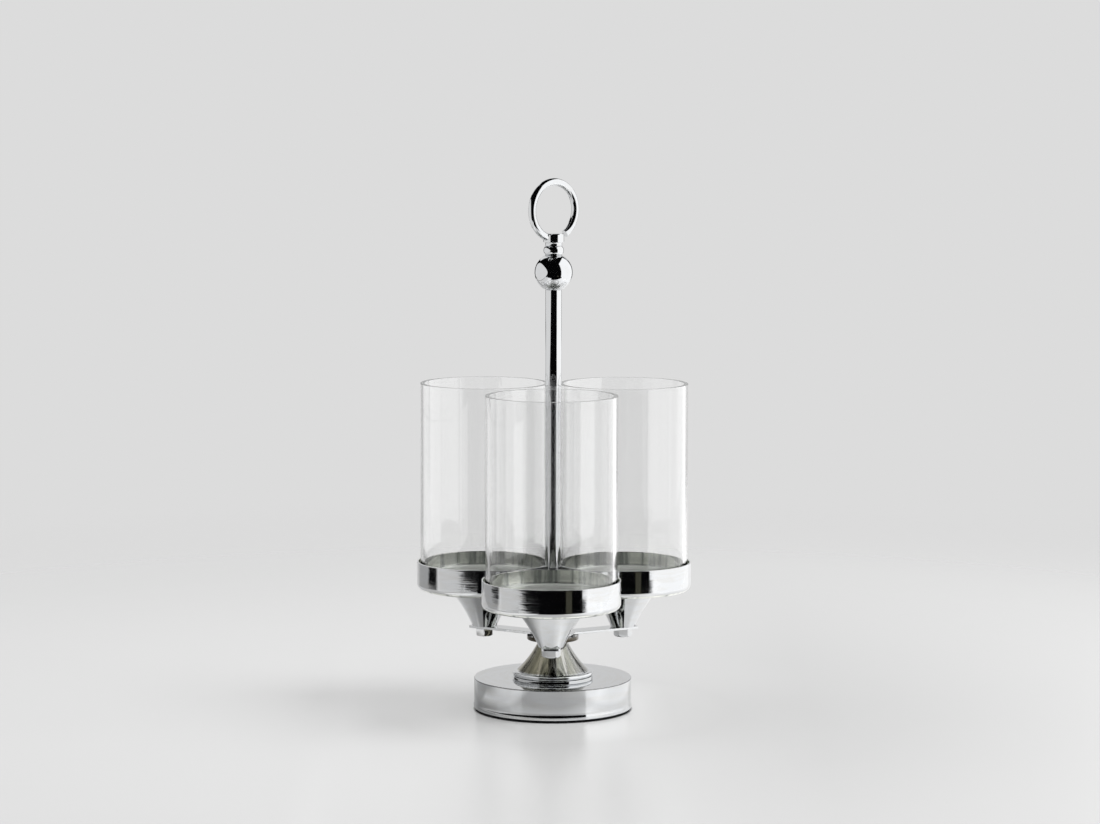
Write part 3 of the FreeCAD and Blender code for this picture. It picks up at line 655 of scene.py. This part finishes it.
class HOLDER_OT_base(bpy.types.Operator):
    """Model the felt pad, the drawn base shell and the foot ring"""

    bl_idname = "holder.base"
    bl_label = "Base"

    def execute(self, context):
        s = context.scene.holder_sizes
        bottom, height, radius = measures("felt_pad")
        felt = turn_piece("felt_pad_soft", [
            (0.0, 0.0), (radius, 0.0, s.felt_edge), (radius, height, s.felt_edge), (0.0, height),
        ], bottom)
        settle(felt, pressed_felt(), "felt", "stand", "felt_pad")

        bottom, height, radius = measures("base_shell")
        side, roof = radius - s.hem_proud, height - s.shell_wall
        shell = turn_piece("base_shell_drawn", [
            (s.bolt_hole, roof), (side - s.shell_wall, roof, s.shell_inner), (side - s.shell_wall, 0.0),
            (radius, 0.0, s.shell_foot), (radius, s.hem_height),
            (side, s.hem_height + s.hem_hollow, 0.0, -s.hem_round),
            (side, height, s.shell_round), (s.bolt_hole, height),
        ], bottom, steps=FINE_STEPS)
        # The base's top edge gets a painted dark reflection as a thin line.
        plate_piece(shell, "base_shell", slope=1.0, marks=0.2, waves=0.12, film=0.3,
                    line=bottom + height - EDGE_REFLECTION_SHARE * s.shell_round)

        bottom, height, radius = measures("foot_ring")
        ring = turn_piece("foot_ring_turned", [
            (s.foot_inner, 0.0), (radius, 0.0), (radius, height, s.foot_round), (s.foot_inner, height),
        ], bottom)
        plate_piece(ring, "foot_ring", marks=0.3)
        return {"FINISHED"}


class HOLDER_OT_pedestal(bpy.types.Operator):
    """Model the spun pedestal with its beaded skirt"""

    bl_idname = "holder.pedestal"
    bl_label = "Pedestal"

    def execute(self, context):
        s, looks = context.scene.holder_sizes, context.scene.holder_finishes
        bottom, height, outer = measures("pedestal_cone")
        middle, bead_top = outer - s.bead, s.bead * 2
        lip = middle - s.crease
        pedestal = turn_piece("pedestal_spun", [
            (middle - s.bead_hem, 0.0), (middle, 0.0),
            (outer, s.bead, 0.0, s.bead), (middle, bead_top, 0.0, s.bead), (lip, bead_top),
            (s.pedestal_top, height, 0.0, -s.flare), (s.bolt_hole, height),
            (s.bolt_hole, height - s.spun_cap), (s.pedestal_top - s.spun_wall, height - s.spun_cap),
            (lip - s.spun_wall, bead_top, 0.0, s.flare + s.spun_wall),
        ], bottom, crease=40.0)
        # The pedestal's flare is darkened, part film and part painted dark reflection.
        plate_piece(pedestal, "pedestal_cone", slope=-1.0, marks=0.5, waves=0.3, film=1.0,
                    film_marks=FILM_ALONG, film_colour=looks.film_and_dark_reflection, film_from=bottom + bead_top,
                    gloss=looks.pedestal_gloss)
        return {"FINISHED"}


def plate_outline(s):
    """Outline of the stamped plate: three arms round a round middle."""
    half, tip = s.arm_width / 2, s.arm_reach - s.arm_corner
    # The root round touches the arm's side and the round middle.
    root_x = math.sqrt((s.plate_hub + s.plate_root) ** 2 - (half + s.plate_root) ** 2)
    on_hub = Vector((root_x, half + s.plate_root)) * s.plate_hub / (s.plate_hub + s.plate_root)
    hub_angle = math.atan2(on_hub.y, on_hub.x)
    side = [
        tuple(on_hub),
        *arc_points(on_hub, (root_x, half), s.plate_root),
        (root_x, half),
        (tip, half),
        *arc_points((s.arm_reach, half - s.arm_corner), (tip, half), s.arm_corner)[::-1],
        (s.arm_reach, half - s.arm_corner),
    ]
    arm = [(x, -y) for x, y in side] + side[::-1]
    for index in range(1, HUB_STEPS):
        turn = hub_angle + (HALF_PITCH - hub_angle) * 2 * index / HUB_STEPS
        arm.append(tuple(Vector((math.cos(turn), math.sin(turn))) * s.plate_hub))
    outline = []
    for turn in CUP_ANGLES.values():
        spun = Matrix.Rotation(math.radians(turn), 2)
        outline += [tuple(spun @ Vector(point)) for point in arm]
    return outline


class HOLDER_OT_plate(bpy.types.Operator):
    """Model the hub disc and the thin plate with its three arms"""

    bl_idname = "holder.plate"
    bl_label = "Hub and plate"

    def execute(self, context):
        s = context.scene.holder_sizes
        bottom, height, radius = measures("hub_disc")
        hub = turn_piece("hub_disc_turned", [
            (s.bolt_hole, 0.0), (radius, 0.0, s.hub_round),
            (radius, height, s.light_edge), (s.bolt_hole, height),
        ], bottom)
        plate_piece(hub, "hub_disc", slope=1.0, plate=context.scene.holder_finishes.hub)

        bottom, height, _ = measures("spider_plate")
        plate = pull_out("spider_plate_stamped", [(x, y, bottom) for x, y in plate_outline(s)])
        bpy.ops.mesh.edge_face_add()
        bpy.ops.mesh.select_all(action="SELECT")
        bpy.ops.mesh.extrude_region_move(TRANSFORM_OT_translate={"value": (0.0, 0.0, height)})
        close_up(plate, 30.0)
        break_edges(plate, s.plate_edge, 3, 50.0)
        bpy.ops.object.shade_smooth_by_angle(angle=math.radians(35.0))
        plate_piece(plate, "spider_plate", slope=1.0, marks=0.1, waves=0.5)
        return {"FINISHED"}


class HOLDER_OT_bolts(bpy.types.Operator):
    """Model the three hexagon bolts under the arms"""

    bl_idname = "holder.bolts"
    bl_label = "Arm bolts"

    def execute(self, context):
        s = context.scene.holder_sizes
        seat, rise = top_of("hub_disc"), top_of("arm_bolts") - top_of("hub_disc")
        parts = []
        for cup, turn in HEAD_TURNS.items():
            centre = cup_centre(cup)
            put_down()
            bpy.ops.mesh.primitive_cylinder_add(
                vertices=6, radius=s.head_corner, depth=s.head_height,
                location=(centre.x, centre.y, seat - s.head_height / 2),
                # The mesh's first corner points along y, and the drawn one along x.
                rotation=(0.0, 0.0, math.radians(turn + 30.0)),
            )
            head = bpy.context.object
            bpy.ops.object.transform_apply(location=True, rotation=True, scale=True)
            cone = turn_piece("head_bevel_" + cup, [
                (0.0, -s.head_height), (s.head_face, -s.head_height),
                (s.head_face + s.head_height, 0.0), (0.0, 0.0),
            ], seat, centre, HEAD_STEPS)
            take(head)
            cut = head.modifiers.new("round_face", "BOOLEAN")
            cut.operation, cut.object, cut.solver = "INTERSECT", cone, "EXACT"
            bpy.ops.object.modifier_apply(modifier=cut.name)
            bpy.data.meshes.remove(cone.data)
            break_edges(head, s.head_edge, 2, 25.0)
            shank = turn_piece("shank_" + cup, [
                (0.0, 0.0), (s.shank, 0.0), (s.shank, rise - s.shank_chamfer),
                (s.shank - s.shank_chamfer, rise), (0.0, rise),
            ], seat, centre, SHANK_STEPS)
            parts += [head, shank]
        put_down()
        for part in parts:
            part.select_set(True)
        context.view_layer.objects.active = parts[0]
        bpy.ops.object.join()
        bolts = context.object
        bolts.name = bolts.data.name = "arm_bolts_hexagon"
        bpy.ops.object.shade_smooth_by_angle(angle=math.radians(20.0))
        plate_piece(bolts, "arm_bolts", marks=0.1, waves=0.1, film=0.4)
        return {"FINISHED"}


class HOLDER_OT_cones(bpy.types.Operator):
    """Model the spun cone under a dish and copy it to each arm"""

    bl_idname = "holder.cones"
    bl_label = "Cup cones"

    def execute(self, context):
        s = context.scene.holder_sizes
        bottom, height, _ = measures("cup_cone_front")
        cone = turn_piece("cup_cone_spun", [
            (s.bolt_hole, 0.0), (s.cone_foot, 0.0),
            (s.cone_mouth, height, 0.0, -s.cone_flare), (s.cone_mouth - s.spun_wall, height),
            (s.cone_foot - s.spun_wall, s.spun_cap, 0.0, s.cone_flare + s.spun_wall),
            (s.bolt_hole, s.spun_cap),
        ], bottom, cup_centre("front"), CONE_STEPS)
        copy_to_cups(cone, "cup_cone", bright_chrome, slope=1.0, marks=0.35, film=0.3)
        return {"FINISHED"}


class HOLDER_OT_dishes(bpy.types.Operator):
    """Model the drawn dish and the pan in it, and copy both to each cone"""

    bl_idname = "holder.dishes"
    bl_label = "Dishes and pans"

    def execute(self, context):
        s, looks = context.scene.holder_sizes, context.scene.holder_finishes
        centre = cup_centre("front")
        bottom, height, radius = measures("dish_front")
        inner = radius - s.dish_wall
        dish = turn_piece("dish_drawn", [
            (s.bolt_hole, 0.0), (radius, 0.0, s.dish_corner),
            (radius, height, s.dish_rim), (inner, height, s.dish_rim),
            (inner, s.dish_wall, s.dish_corner - s.dish_wall), (s.bolt_hole, s.dish_wall),
        ], bottom, centre)
        # The dishes' inner walls get patches of painted pale and dark reflection.
        copy_to_cups(dish, "dish", bright_chrome, slope=0.2, marks=0.6, waves=0.4, film=0.35,
                     gloss=looks.dish_gloss, inside=inner + s.dish_rim)

        bottom, height, radius = measures("pan_front")
        floor = height - s.pan_sink
        pan = turn_piece("pan_pressed", [
            (s.pan_foot - s.pan_wall, 0.0), (s.pan_foot, 0.0),
            (radius, height - s.pan_lip), (radius, height, s.pan_edge),
            (s.pan_floor + s.pan_step, height, s.pan_step_edge), (s.pan_floor, floor),
            (0.0, floor), (0.0, floor - s.pan_wall), (radius - s.pan_wall, floor - s.pan_wall),
        ], bottom, centre)
        # The pan's floor gets painted shade towards its front edge.
        copy_to_cups(pan, "pan", bright_chrome, slope=1.0, marks=0.5, waves=0.5, film=0.6,
                     film_colour=looks.pan_film, plate=looks.pan, gloss=looks.pan_gloss,
                     metal=looks.pan_metal, dull_from=s.pan_floor * SHADED_FLOOR_SHARE)
        return {"FINISHED"}


class HOLDER_OT_glasses(bpy.types.Operator):
    """Model the open glass tube and copy it to each dish"""

    bl_idname = "holder.glasses"
    bl_label = "Glass chimneys"

    def execute(self, context):
        s = context.scene.holder_sizes
        bottom, height, radius = measures("glass_front")
        inner = radius - s.glass_wall
        tube = turn_piece("glass_tube", [
            (inner, 0.0, s.glass_rim), (radius, 0.0, s.glass_rim),
            (radius, height, s.glass_rim), (inner, height, s.glass_rim),
        ], bottom, cup_centre("front"), FINE_STEPS)
        copy_to_cups(tube, "glass", clear_glass, "clear_glass", own_body=True)
        for cup in CUP_ANGLES:
            bpy.data.objects["glass_tube_" + cup].visible_shadow = False
        return {"FINISHED"}


class HOLDER_OT_rod(bpy.types.Operator):
    """Model the centre rod, a drawn tube"""

    bl_idname = "holder.rod"
    bl_label = "Centre rod"

    def execute(self, context):
        s = context.scene.holder_sizes
        bottom, height, radius = measures("centre_rod")
        bore = radius - s.rod_wall
        rod = turn_piece("centre_rod_drawn", [
            (bore, 0.0), (radius, 0.0, s.light_edge), (radius, height, s.light_edge), (bore, height),
        ], bottom, steps=THIN_STEPS)
        plate_piece(rod, "centre_rod", marks=0.1, waves=0.15, film=0.3, film_marks=FILM_ALONG)
        return {"FINISHED"}


class HOLDER_OT_finial(bpy.types.Operator):
    """Model the ball, the bead and the collar on the rod"""

    bl_idname = "holder.finial"
    bl_label = "Ball, bead and collar"

    def execute(self, context):
        s = context.scene.holder_sizes
        seat = measures("centre_rod")[2]
        bottom, height, _ = measures("finial_ball")
        ball = turn_piece("finial_ball_turned", [
            (s.stud_hole, 0.0), (seat, 0.0), (s.ball, height / 2, 0.0, s.ball),
            (seat, height, 0.0, s.ball), (s.stud_hole, height),
        ], bottom, steps=CONE_STEPS)
        plate_piece(ball, "finial_ball", marks=0.1, waves=0.1, film=0.2)

        bottom, height, _ = measures("finial_bead")
        bead = turn_piece("finial_bead_turned", [
            (s.stud_hole, 0.0), (seat, 0.0), (s.bead_top, height, 0.0, s.bead_round), (s.stud_hole, height),
        ], bottom, steps=THIN_STEPS)
        plate_piece(bead, "finial_bead", marks=0.1, waves=0.1)

        bottom, height, _ = measures("finial_collar")
        collar = turn_piece("finial_collar_turned", [
            (s.stud_hole, 0.0), (s.neck, 0.0),
            (s.collar - s.collar_lip, s.neck_height, 0.0, -s.neck_round),
            (s.collar, s.neck_height, s.light_edge), (s.collar, height - s.collar_chamfer),
            (s.collar - s.collar_chamfer, height),
            (0.0, height), (0.0, s.stud_depth), (s.stud_hole, s.stud_depth),
        ], bottom, steps=THIN_STEPS)
        plate_piece(collar, "finial_collar", marks=0.1, waves=0.1)
        return {"FINISHED"}


class HOLDER_OT_ring(bpy.types.Operator):
    """Bend the round wire of the carrying ring"""

    bl_idname = "holder.ring"
    bl_label = "Carrying ring"

    def execute(self, context):
        s = context.scene.holder_sizes
        centre = Vector((0.0, 0.0, top_of("ring_handle") - s.ring - s.wire))
        open_half = math.asin(s.ring_gap / s.ring)
        across = Vector((math.cos(s.ring_turn), math.sin(s.ring_turn), 0.0))
        axis = Vector((math.sin(s.ring_turn), -math.cos(s.ring_turn), 0.0))
        spoke = across * math.sin(open_half) - Vector(UP) * math.cos(open_half)
        put_down()
        bpy.ops.mesh.primitive_circle_add(
            vertices=WIRE_STEPS, radius=s.wire, fill_type="NGON", location=centre + spoke * s.ring,
            rotation=Matrix((spoke, axis, spoke.cross(axis))).transposed().to_euler(),
        )
        ring = bpy.context.object
        ring.name = ring.data.name = "ring_handle_bent"
        take(ring)
        bpy.ops.object.mode_set(mode="EDIT")
        bpy.ops.mesh.select_all(action="SELECT")
        bpy.ops.mesh.spin(steps=RING_STEPS, angle=FULL_TURN - 2 * open_half, center=centre, axis=axis)
        close_up(ring, 40.0)
        plate_piece(ring, "ring_handle", marks=0.05, waves=0.1, film=0.2)
        return {"FINISHED"}


class HOLDER_OT_inside(bpy.types.Operator):
    """Give the hidden rods, nuts, washers, plugs and the weight their own finishes"""

    bl_idname = "holder.inside"
    bl_label = "Hidden pieces"

    def execute(self, context):
        plated = ("tie_washer", "tie_nut", "tie_rod", "rod_socket", "rod_plug", "finial_stud",
                  "dish_washers", "dish_nuts")
        for finish, nodes in ((plated_zinc(), plated), (cast_iron(), ("base_weight",))):
            for node in nodes:
                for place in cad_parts[node].material_slots:
                    place.material = finish
        return {"FINISHED"}


# The stage

def reflected(tree):
    """One where a ray has been mirrored at least once, else zero, and the facts of the ray."""
    path = add_node(tree, "ShaderNodeLightPath").outputs
    return Level(tree, path["Glossy Depth"]).over(0.5), path


def card_finish(name, tone, strength, soft, oval, off):
    """A card that only mirrors at least so far off see, square or oval, with a soft edge.

    Its own plane runs from -1 to 1.
    """
    finish = bpy.data.materials.new(name)
    tree = clean_tree(finish)
    seen, path = reflected(tree)
    if off:
        seen = seen * Level(tree, path["Ray Length"]).over(off)
    place = add_node(tree, "ShaderNodeTexCoord").outputs["Object"]
    if oval:
        away = Level(tree, vector_node(tree, "LENGTH", place))
    else:
        x, y, _ = axes(tree, vector_node(tree, "ABSOLUTE", place))
        away = x.or_more(y)
    shown = away.ramp(1.0 - soft, 1.0, 1.0, 0.0) * seen
    glow = add_node(tree, "ShaderNodeEmission", {"Color": (*tone, 1.0), "Strength": strength})
    clear = add_node(tree, "ShaderNodeBsdfTransparent")
    mixed = add_node(tree, "ShaderNodeMixShader", {0: shown, 1: clear.outputs[0], 2: glow.outputs[0]})
    add_node(tree, "ShaderNodeOutputMaterial", {0: mixed.outputs[0]})
    return finish


def stand_card(name, first, last, low, high, tone, strength, soft=0.03, oval=False, off=0.0):
    """An upright card between two places on the table, from one height to another, all in millimetres."""
    first, last = Vector(first) * MM, Vector(last) * MM
    middle, along = (first + last) / 2, last - first
    put_down()
    bpy.ops.mesh.primitive_plane_add(
        size=2.0, location=(middle.x, middle.y, (low + high) / 2 * MM),
        rotation=(math.pi / 2, 0.0, math.atan2(along.y, along.x)))
    card = bpy.context.object
    card.scale = (along.length / 2, (high - low) / 2 * MM, 1.0)
    card.name = card.data.name = name
    card.data.materials.append(card_finish(name, tone, strength, soft, oval, off))
    card.visible_camera = card.visible_shadow = card.visible_diffuse = card.visible_volume_scatter = False


def stripes(tree, x):
    """The painted pale and dark stripes of light and shade that the stand throws on the table, from left to
    right.
    """
    patches = add_node(tree, "ShaderNodeValToRGB", {0: x.ramp(-300 * MM, 300 * MM, 0.0, 1.0)})
    stops = patches.color_ramp.elements
    tones = ((0.0, 1.08), (0.33, 1.08), (0.355, 0.95), (0.385, 0.60), (0.54, 0.66), (0.63, 0.84),
             (0.665, 0.95), (1.0, 0.95))
    while len(stops) < len(tones):
        stops.new(0.5)
    for stop, (at, tone) in zip(stops, tones):
        stop.position, stop.color = at, (tone, tone, tone, 1.0)
    return Level(tree, patches.outputs[0])


def table_finish(stage):
    """Pale satin table, a little paler on the left as painted light, with painted light and shade near the
    holder, that fades into the background far from the holder.
    """
    finish, tree, shader = new_finish("table_satin", Roughness=0.27, IOR=1.45)
    seen, _ = reflected(tree)
    place = centred(tree)
    x, y, _ = axes(tree, place)
    reach = off_axis(tree, place)
    grain = noise(tree, place, 900.0, 3.0, 0.6).ramp(0.2, 0.8, 1.0, 0.985)
    # Painted light: the table is paler on the left, where more light falls, and darker on the right.
    near = x.ramp(-20 * MM, 160 * MM, stage.table_left, stage.table_right)
    grey = near + reach.ramp(220 * MM, 600 * MM, 0.0, 1.0) * (stage.table_far - near)

    # Mirrors see painted light on the stripes on the right and before the base, and painted shade behind it
    # on the left.
    in_front = abs(y + 65 * MM).ramp(0.0, 35 * MM, 1.0, 0.0)
    spot = x.ramp(55 * MM, 70 * MM, 0.62, 0.3) * x.ramp(-100 * MM, -85 * MM, 0.3, 1.0)
    shaded = y.ramp(-40 * MM, 0.0, 0.0, 0.42) * x.ramp(-50 * MM, -10 * MM, 1.0, 0.0)
    lit = (in_front * spot + x.ramp(80 * MM, 95 * MM, 1.42, 1.68)) * (1.0 - shaded)
    # A painted pale patch of light lies on the left beside the base.
    beside = x.ramp(-98 * MM, -76 * MM, 1.0, 0.0) * (
        x.ramp(-130 * MM, -100 * MM, 0.0, 1.0) * y.ramp(2 * MM, 12 * MM, 1.0, 0.0))
    lit = beside * (y.ramp(5 * MM, 30 * MM, 1.55, 1.4) - lit) + lit
    mirrored = (stripes(tree, x) * lit - 1.0) * seen + 1.0

    # Close to the base the camera sees a painted reflection of its bright wall in the satin, and a painted
    # contact shadow as a dark line under the felt.
    bright = x.ramp(10 * MM, 20 * MM, 0.0, 0.12) * x.ramp(55 * MM, 75 * MM, 1.0, 0.0)
    wall_reflection_and_contact_shadow = reach.ramp(50 * MM, 110 * MM, 1.0, 0.0) * (bright + 0.15) + 1.0
    wall_reflection_and_contact_shadow = wall_reflection_and_contact_shadow * reach.ramp(48.4 * MM, 49.6 * MM, 0.1, 1.0)
    tone = grey * (mirrored * wall_reflection_and_contact_shadow.or_more(seen)) * grain

    # In mirrors the table ends in front of the holder, further off on its left, and has a dark gap far left.
    slant = x.ramp(-120 * MM, -100 * MM, 1.0, 0.0) * (x * 0.071 + 143.5 * MM)
    beyond = (slant + y).ramp(-312 * MM, -305 * MM, 1.0, 0.0)
    gap = x.ramp(-535 * MM, -505 * MM, 0.97, 0.0) * (
        y.ramp(-60 * MM, 0.0, 0.0, 1.0) * y.ramp(140 * MM, 200 * MM, 1.0, 0.0))
    fade = reach.ramp(320 * MM, 1000 * MM, 1.0, 0.0, "SMOOTHSTEP")
    kept = reach.ramp(700 * MM, 1500 * MM, 1.0, 0.0, "SMOOTHSTEP") * (1.0 - beyond.or_more(gap))
    dress(tree, shader, Base_Color=tone, Alpha=(kept - fade) * seen + fade)
    return finish


def set_world(scene, stage):
    """Plain light for dull surfaces, a pale background, and a dark room with a pale wall for mirrors."""
    scene.world = bpy.data.worlds.new("studio")
    tree = clean_tree(scene.world)
    seen, path = reflected(tree)
    _, y, z = axes(tree, add_node(tree, "ShaderNodeTexCoord").outputs["Generated"])
    grey = (stage.backdrop,) * 3
    # The rear wall fills the directions that lead away from the camera, up to a soft upper edge.
    wall = y.ramp(0.78, 0.86, 0.0, 1.0) * z.ramp(0.55, 0.8, 1.0, 0.0)
    room = blend_colours(tree, wall, DARK_ROOM, grey)
    # The wall behind is a little brighter where the glass shows it.
    plain = blend_colours(tree, path["Is Transmission Ray"], grey, (stage.backdrop * 1.07,) * 3)
    shown = blend_colours(tree, seen, plain, room)
    lit = blend_colours(tree, path["Is Diffuse Ray"], shown, (stage.fill,) * 3)
    background = add_node(tree, "ShaderNodeBackground", {"Color": lit})
    add_node(tree, "ShaderNodeOutputWorld", {0: background.outputs[0]})


def soft_lamp(name, place, size, watts):
    """A square soft lamp that shines on the foot of the holder and that mirrors don't see."""
    put_down()
    bpy.ops.object.light_add(type="AREA", location=place)
    lamp = bpy.context.object
    lamp.name = name
    lamp.data.shape, lamp.data.size, lamp.data.energy = "SQUARE", size, watts
    lamp.rotation_euler = (-Vector(place)).to_track_quat("-Z", "Y").to_euler()
    lamp.visible_camera = lamp.visible_glossy = lamp.visible_transmission = False


def set_camera(scene, stage):
    """The camera before the holder, a little above it."""
    data = bpy.data.cameras.new("camera")
    data.lens, data.sensor_width = stage.lens, 36.0
    camera = bpy.data.objects.new("camera", data)
    scene.collection.objects.link(camera)
    spot = Vector((-stage.camera_left, -stage.camera_distance, stage.camera_height))
    camera.matrix_world = (
        Matrix.Translation(Matrix.Rotation(stage.camera_round, 4, "Z") @ spot)
        @ Matrix.Rotation(stage.camera_turn, 4, "Z")
        @ Matrix.Rotation(math.pi / 2 - stage.camera_pitch, 4, "X")
        @ Matrix.Rotation(stage.camera_roll, 4, "Z"))
    scene.camera = camera


class HOLDER_OT_stage(bpy.types.Operator):
    """Lay the table, stand the cards, hang the lamps and set the camera"""

    bl_idname = "holder.stage"
    bl_label = "Stage"

    def execute(self, context):
        stage = context.scene.holder_stage
        put_down()
        bpy.ops.mesh.primitive_circle_add(vertices=TABLE_STEPS, radius=stage.table_radius, fill_type="NGON")
        table = context.object
        table.name = table.data.name = "table"
        table.data.materials.append(table_finish(stage))

        left, right = stage.left_panel, stage.right_panel
        stand_card("left_softbox", (-151, -214), (-151, 214), 174, 378, WHITE, left, oval=True)
        # Only the ball, which stands further off than the glasses, mirrors the dark edge of the softbox.
        stand_card("left_softbox_back", (-154, -223), (-154, 223), 168, 384, BLACK, 0.0, soft=0.02,
                   oval=True, off=170 * MM)
        stand_card("left_reflector", (-158, -212), (-158, 430), 78, 170, WHITE, left * 0.92)
        stand_card("left_low_card", (-158, -190), (-158, 250), 22, 50, WHITE, left * 0.7)
        stand_card("left_reflector_top", (-158, -150), (-158, 430), 168, 216, WHITE, left * 0.92)
        # Dull gaps behind the panels draw a thin dark line along the sides of the glass and the ball.
        stand_card("left_gap", (-150, 116), (-150, 226), 78, 226, WHITE, 0.5, 0.05)
        stand_card("left_gap_top", (-148, 180), (-148, 410), 200, 384, BLACK, 0.0)
        stand_card("right_gap_top", (150, 214), (150, 412), 200, 384, BLACK, 0.0)
        stand_card("left_top_card", (-150, 150), (-150, 430), 386, 620, WHITE, left)
        stand_card("right_panel", (500, -450), (480, 700), -20, 1080, WHITE, right)
        stand_card("dim_strip", (390, -900), (540, -830), -140, -30, WARM_LIGHT, 0.06, 0.04)

        set_world(context.scene, stage)
        soft_lamp("lamp_right", (1.0, -0.1, 0.9), 0.8, 9.0)
        soft_lamp("lamp_left", (-1.2, 0.1, 0.9), 1.0, 3.0)
        context.scene.view_settings.view_transform = "Standard"
        set_camera(context.scene, stage)
        return {"FINISHED"}


PIECES = (HOLDER_OT_base, HOLDER_OT_pedestal, HOLDER_OT_plate, HOLDER_OT_bolts, HOLDER_OT_cones,
          HOLDER_OT_dishes, HOLDER_OT_glasses, HOLDER_OT_rod, HOLDER_OT_finial, HOLDER_OT_ring,
          HOLDER_OT_inside, HOLDER_OT_stage)


class HOLDER_PT_sidebar(bpy.types.Panel):
    """Lists the steps that dress the holder"""

    bl_idname = "HOLDER_PT_sidebar"
    bl_label = "Candle Holder"
    bl_space_type = "VIEW_3D"
    bl_region_type = "UI"
    bl_category = "Holder"

    def draw(self, context):
        for step in PIECES:
            self.layout.operator(step.bl_idname)
        for group in ("holder_sizes", "holder_finishes", "holder_stage"):
            box = self.layout.box()
            values = getattr(context.scene, group)
            for name in values.__annotations__:
                box.prop(values, name)


CLASSES = (HolderSizes, HolderFinishes, HolderStage, *PIECES, HOLDER_PT_sidebar)


def register():
    for cls in CLASSES:
        bpy.utils.register_class(cls)
    bpy.types.Scene.holder_sizes = PointerProperty(type=HolderSizes)
    bpy.types.Scene.holder_finishes = PointerProperty(type=HolderFinishes)
    bpy.types.Scene.holder_stage = PointerProperty(type=HolderStage)


def unregister():
    del bpy.types.Scene.holder_stage
    del bpy.types.Scene.holder_finishes
    del bpy.types.Scene.holder_sizes
    for cls in reversed(CLASSES):
        bpy.utils.unregister_class(cls)


def main():
    """Register the add-on and make every piece in order."""
    register()
    for step in PIECES:
        group, name = step.bl_idname.split(".")
        getattr(getattr(bpy.ops, group), name)()
    put_down()


if __name__ == "__main__":
    main()
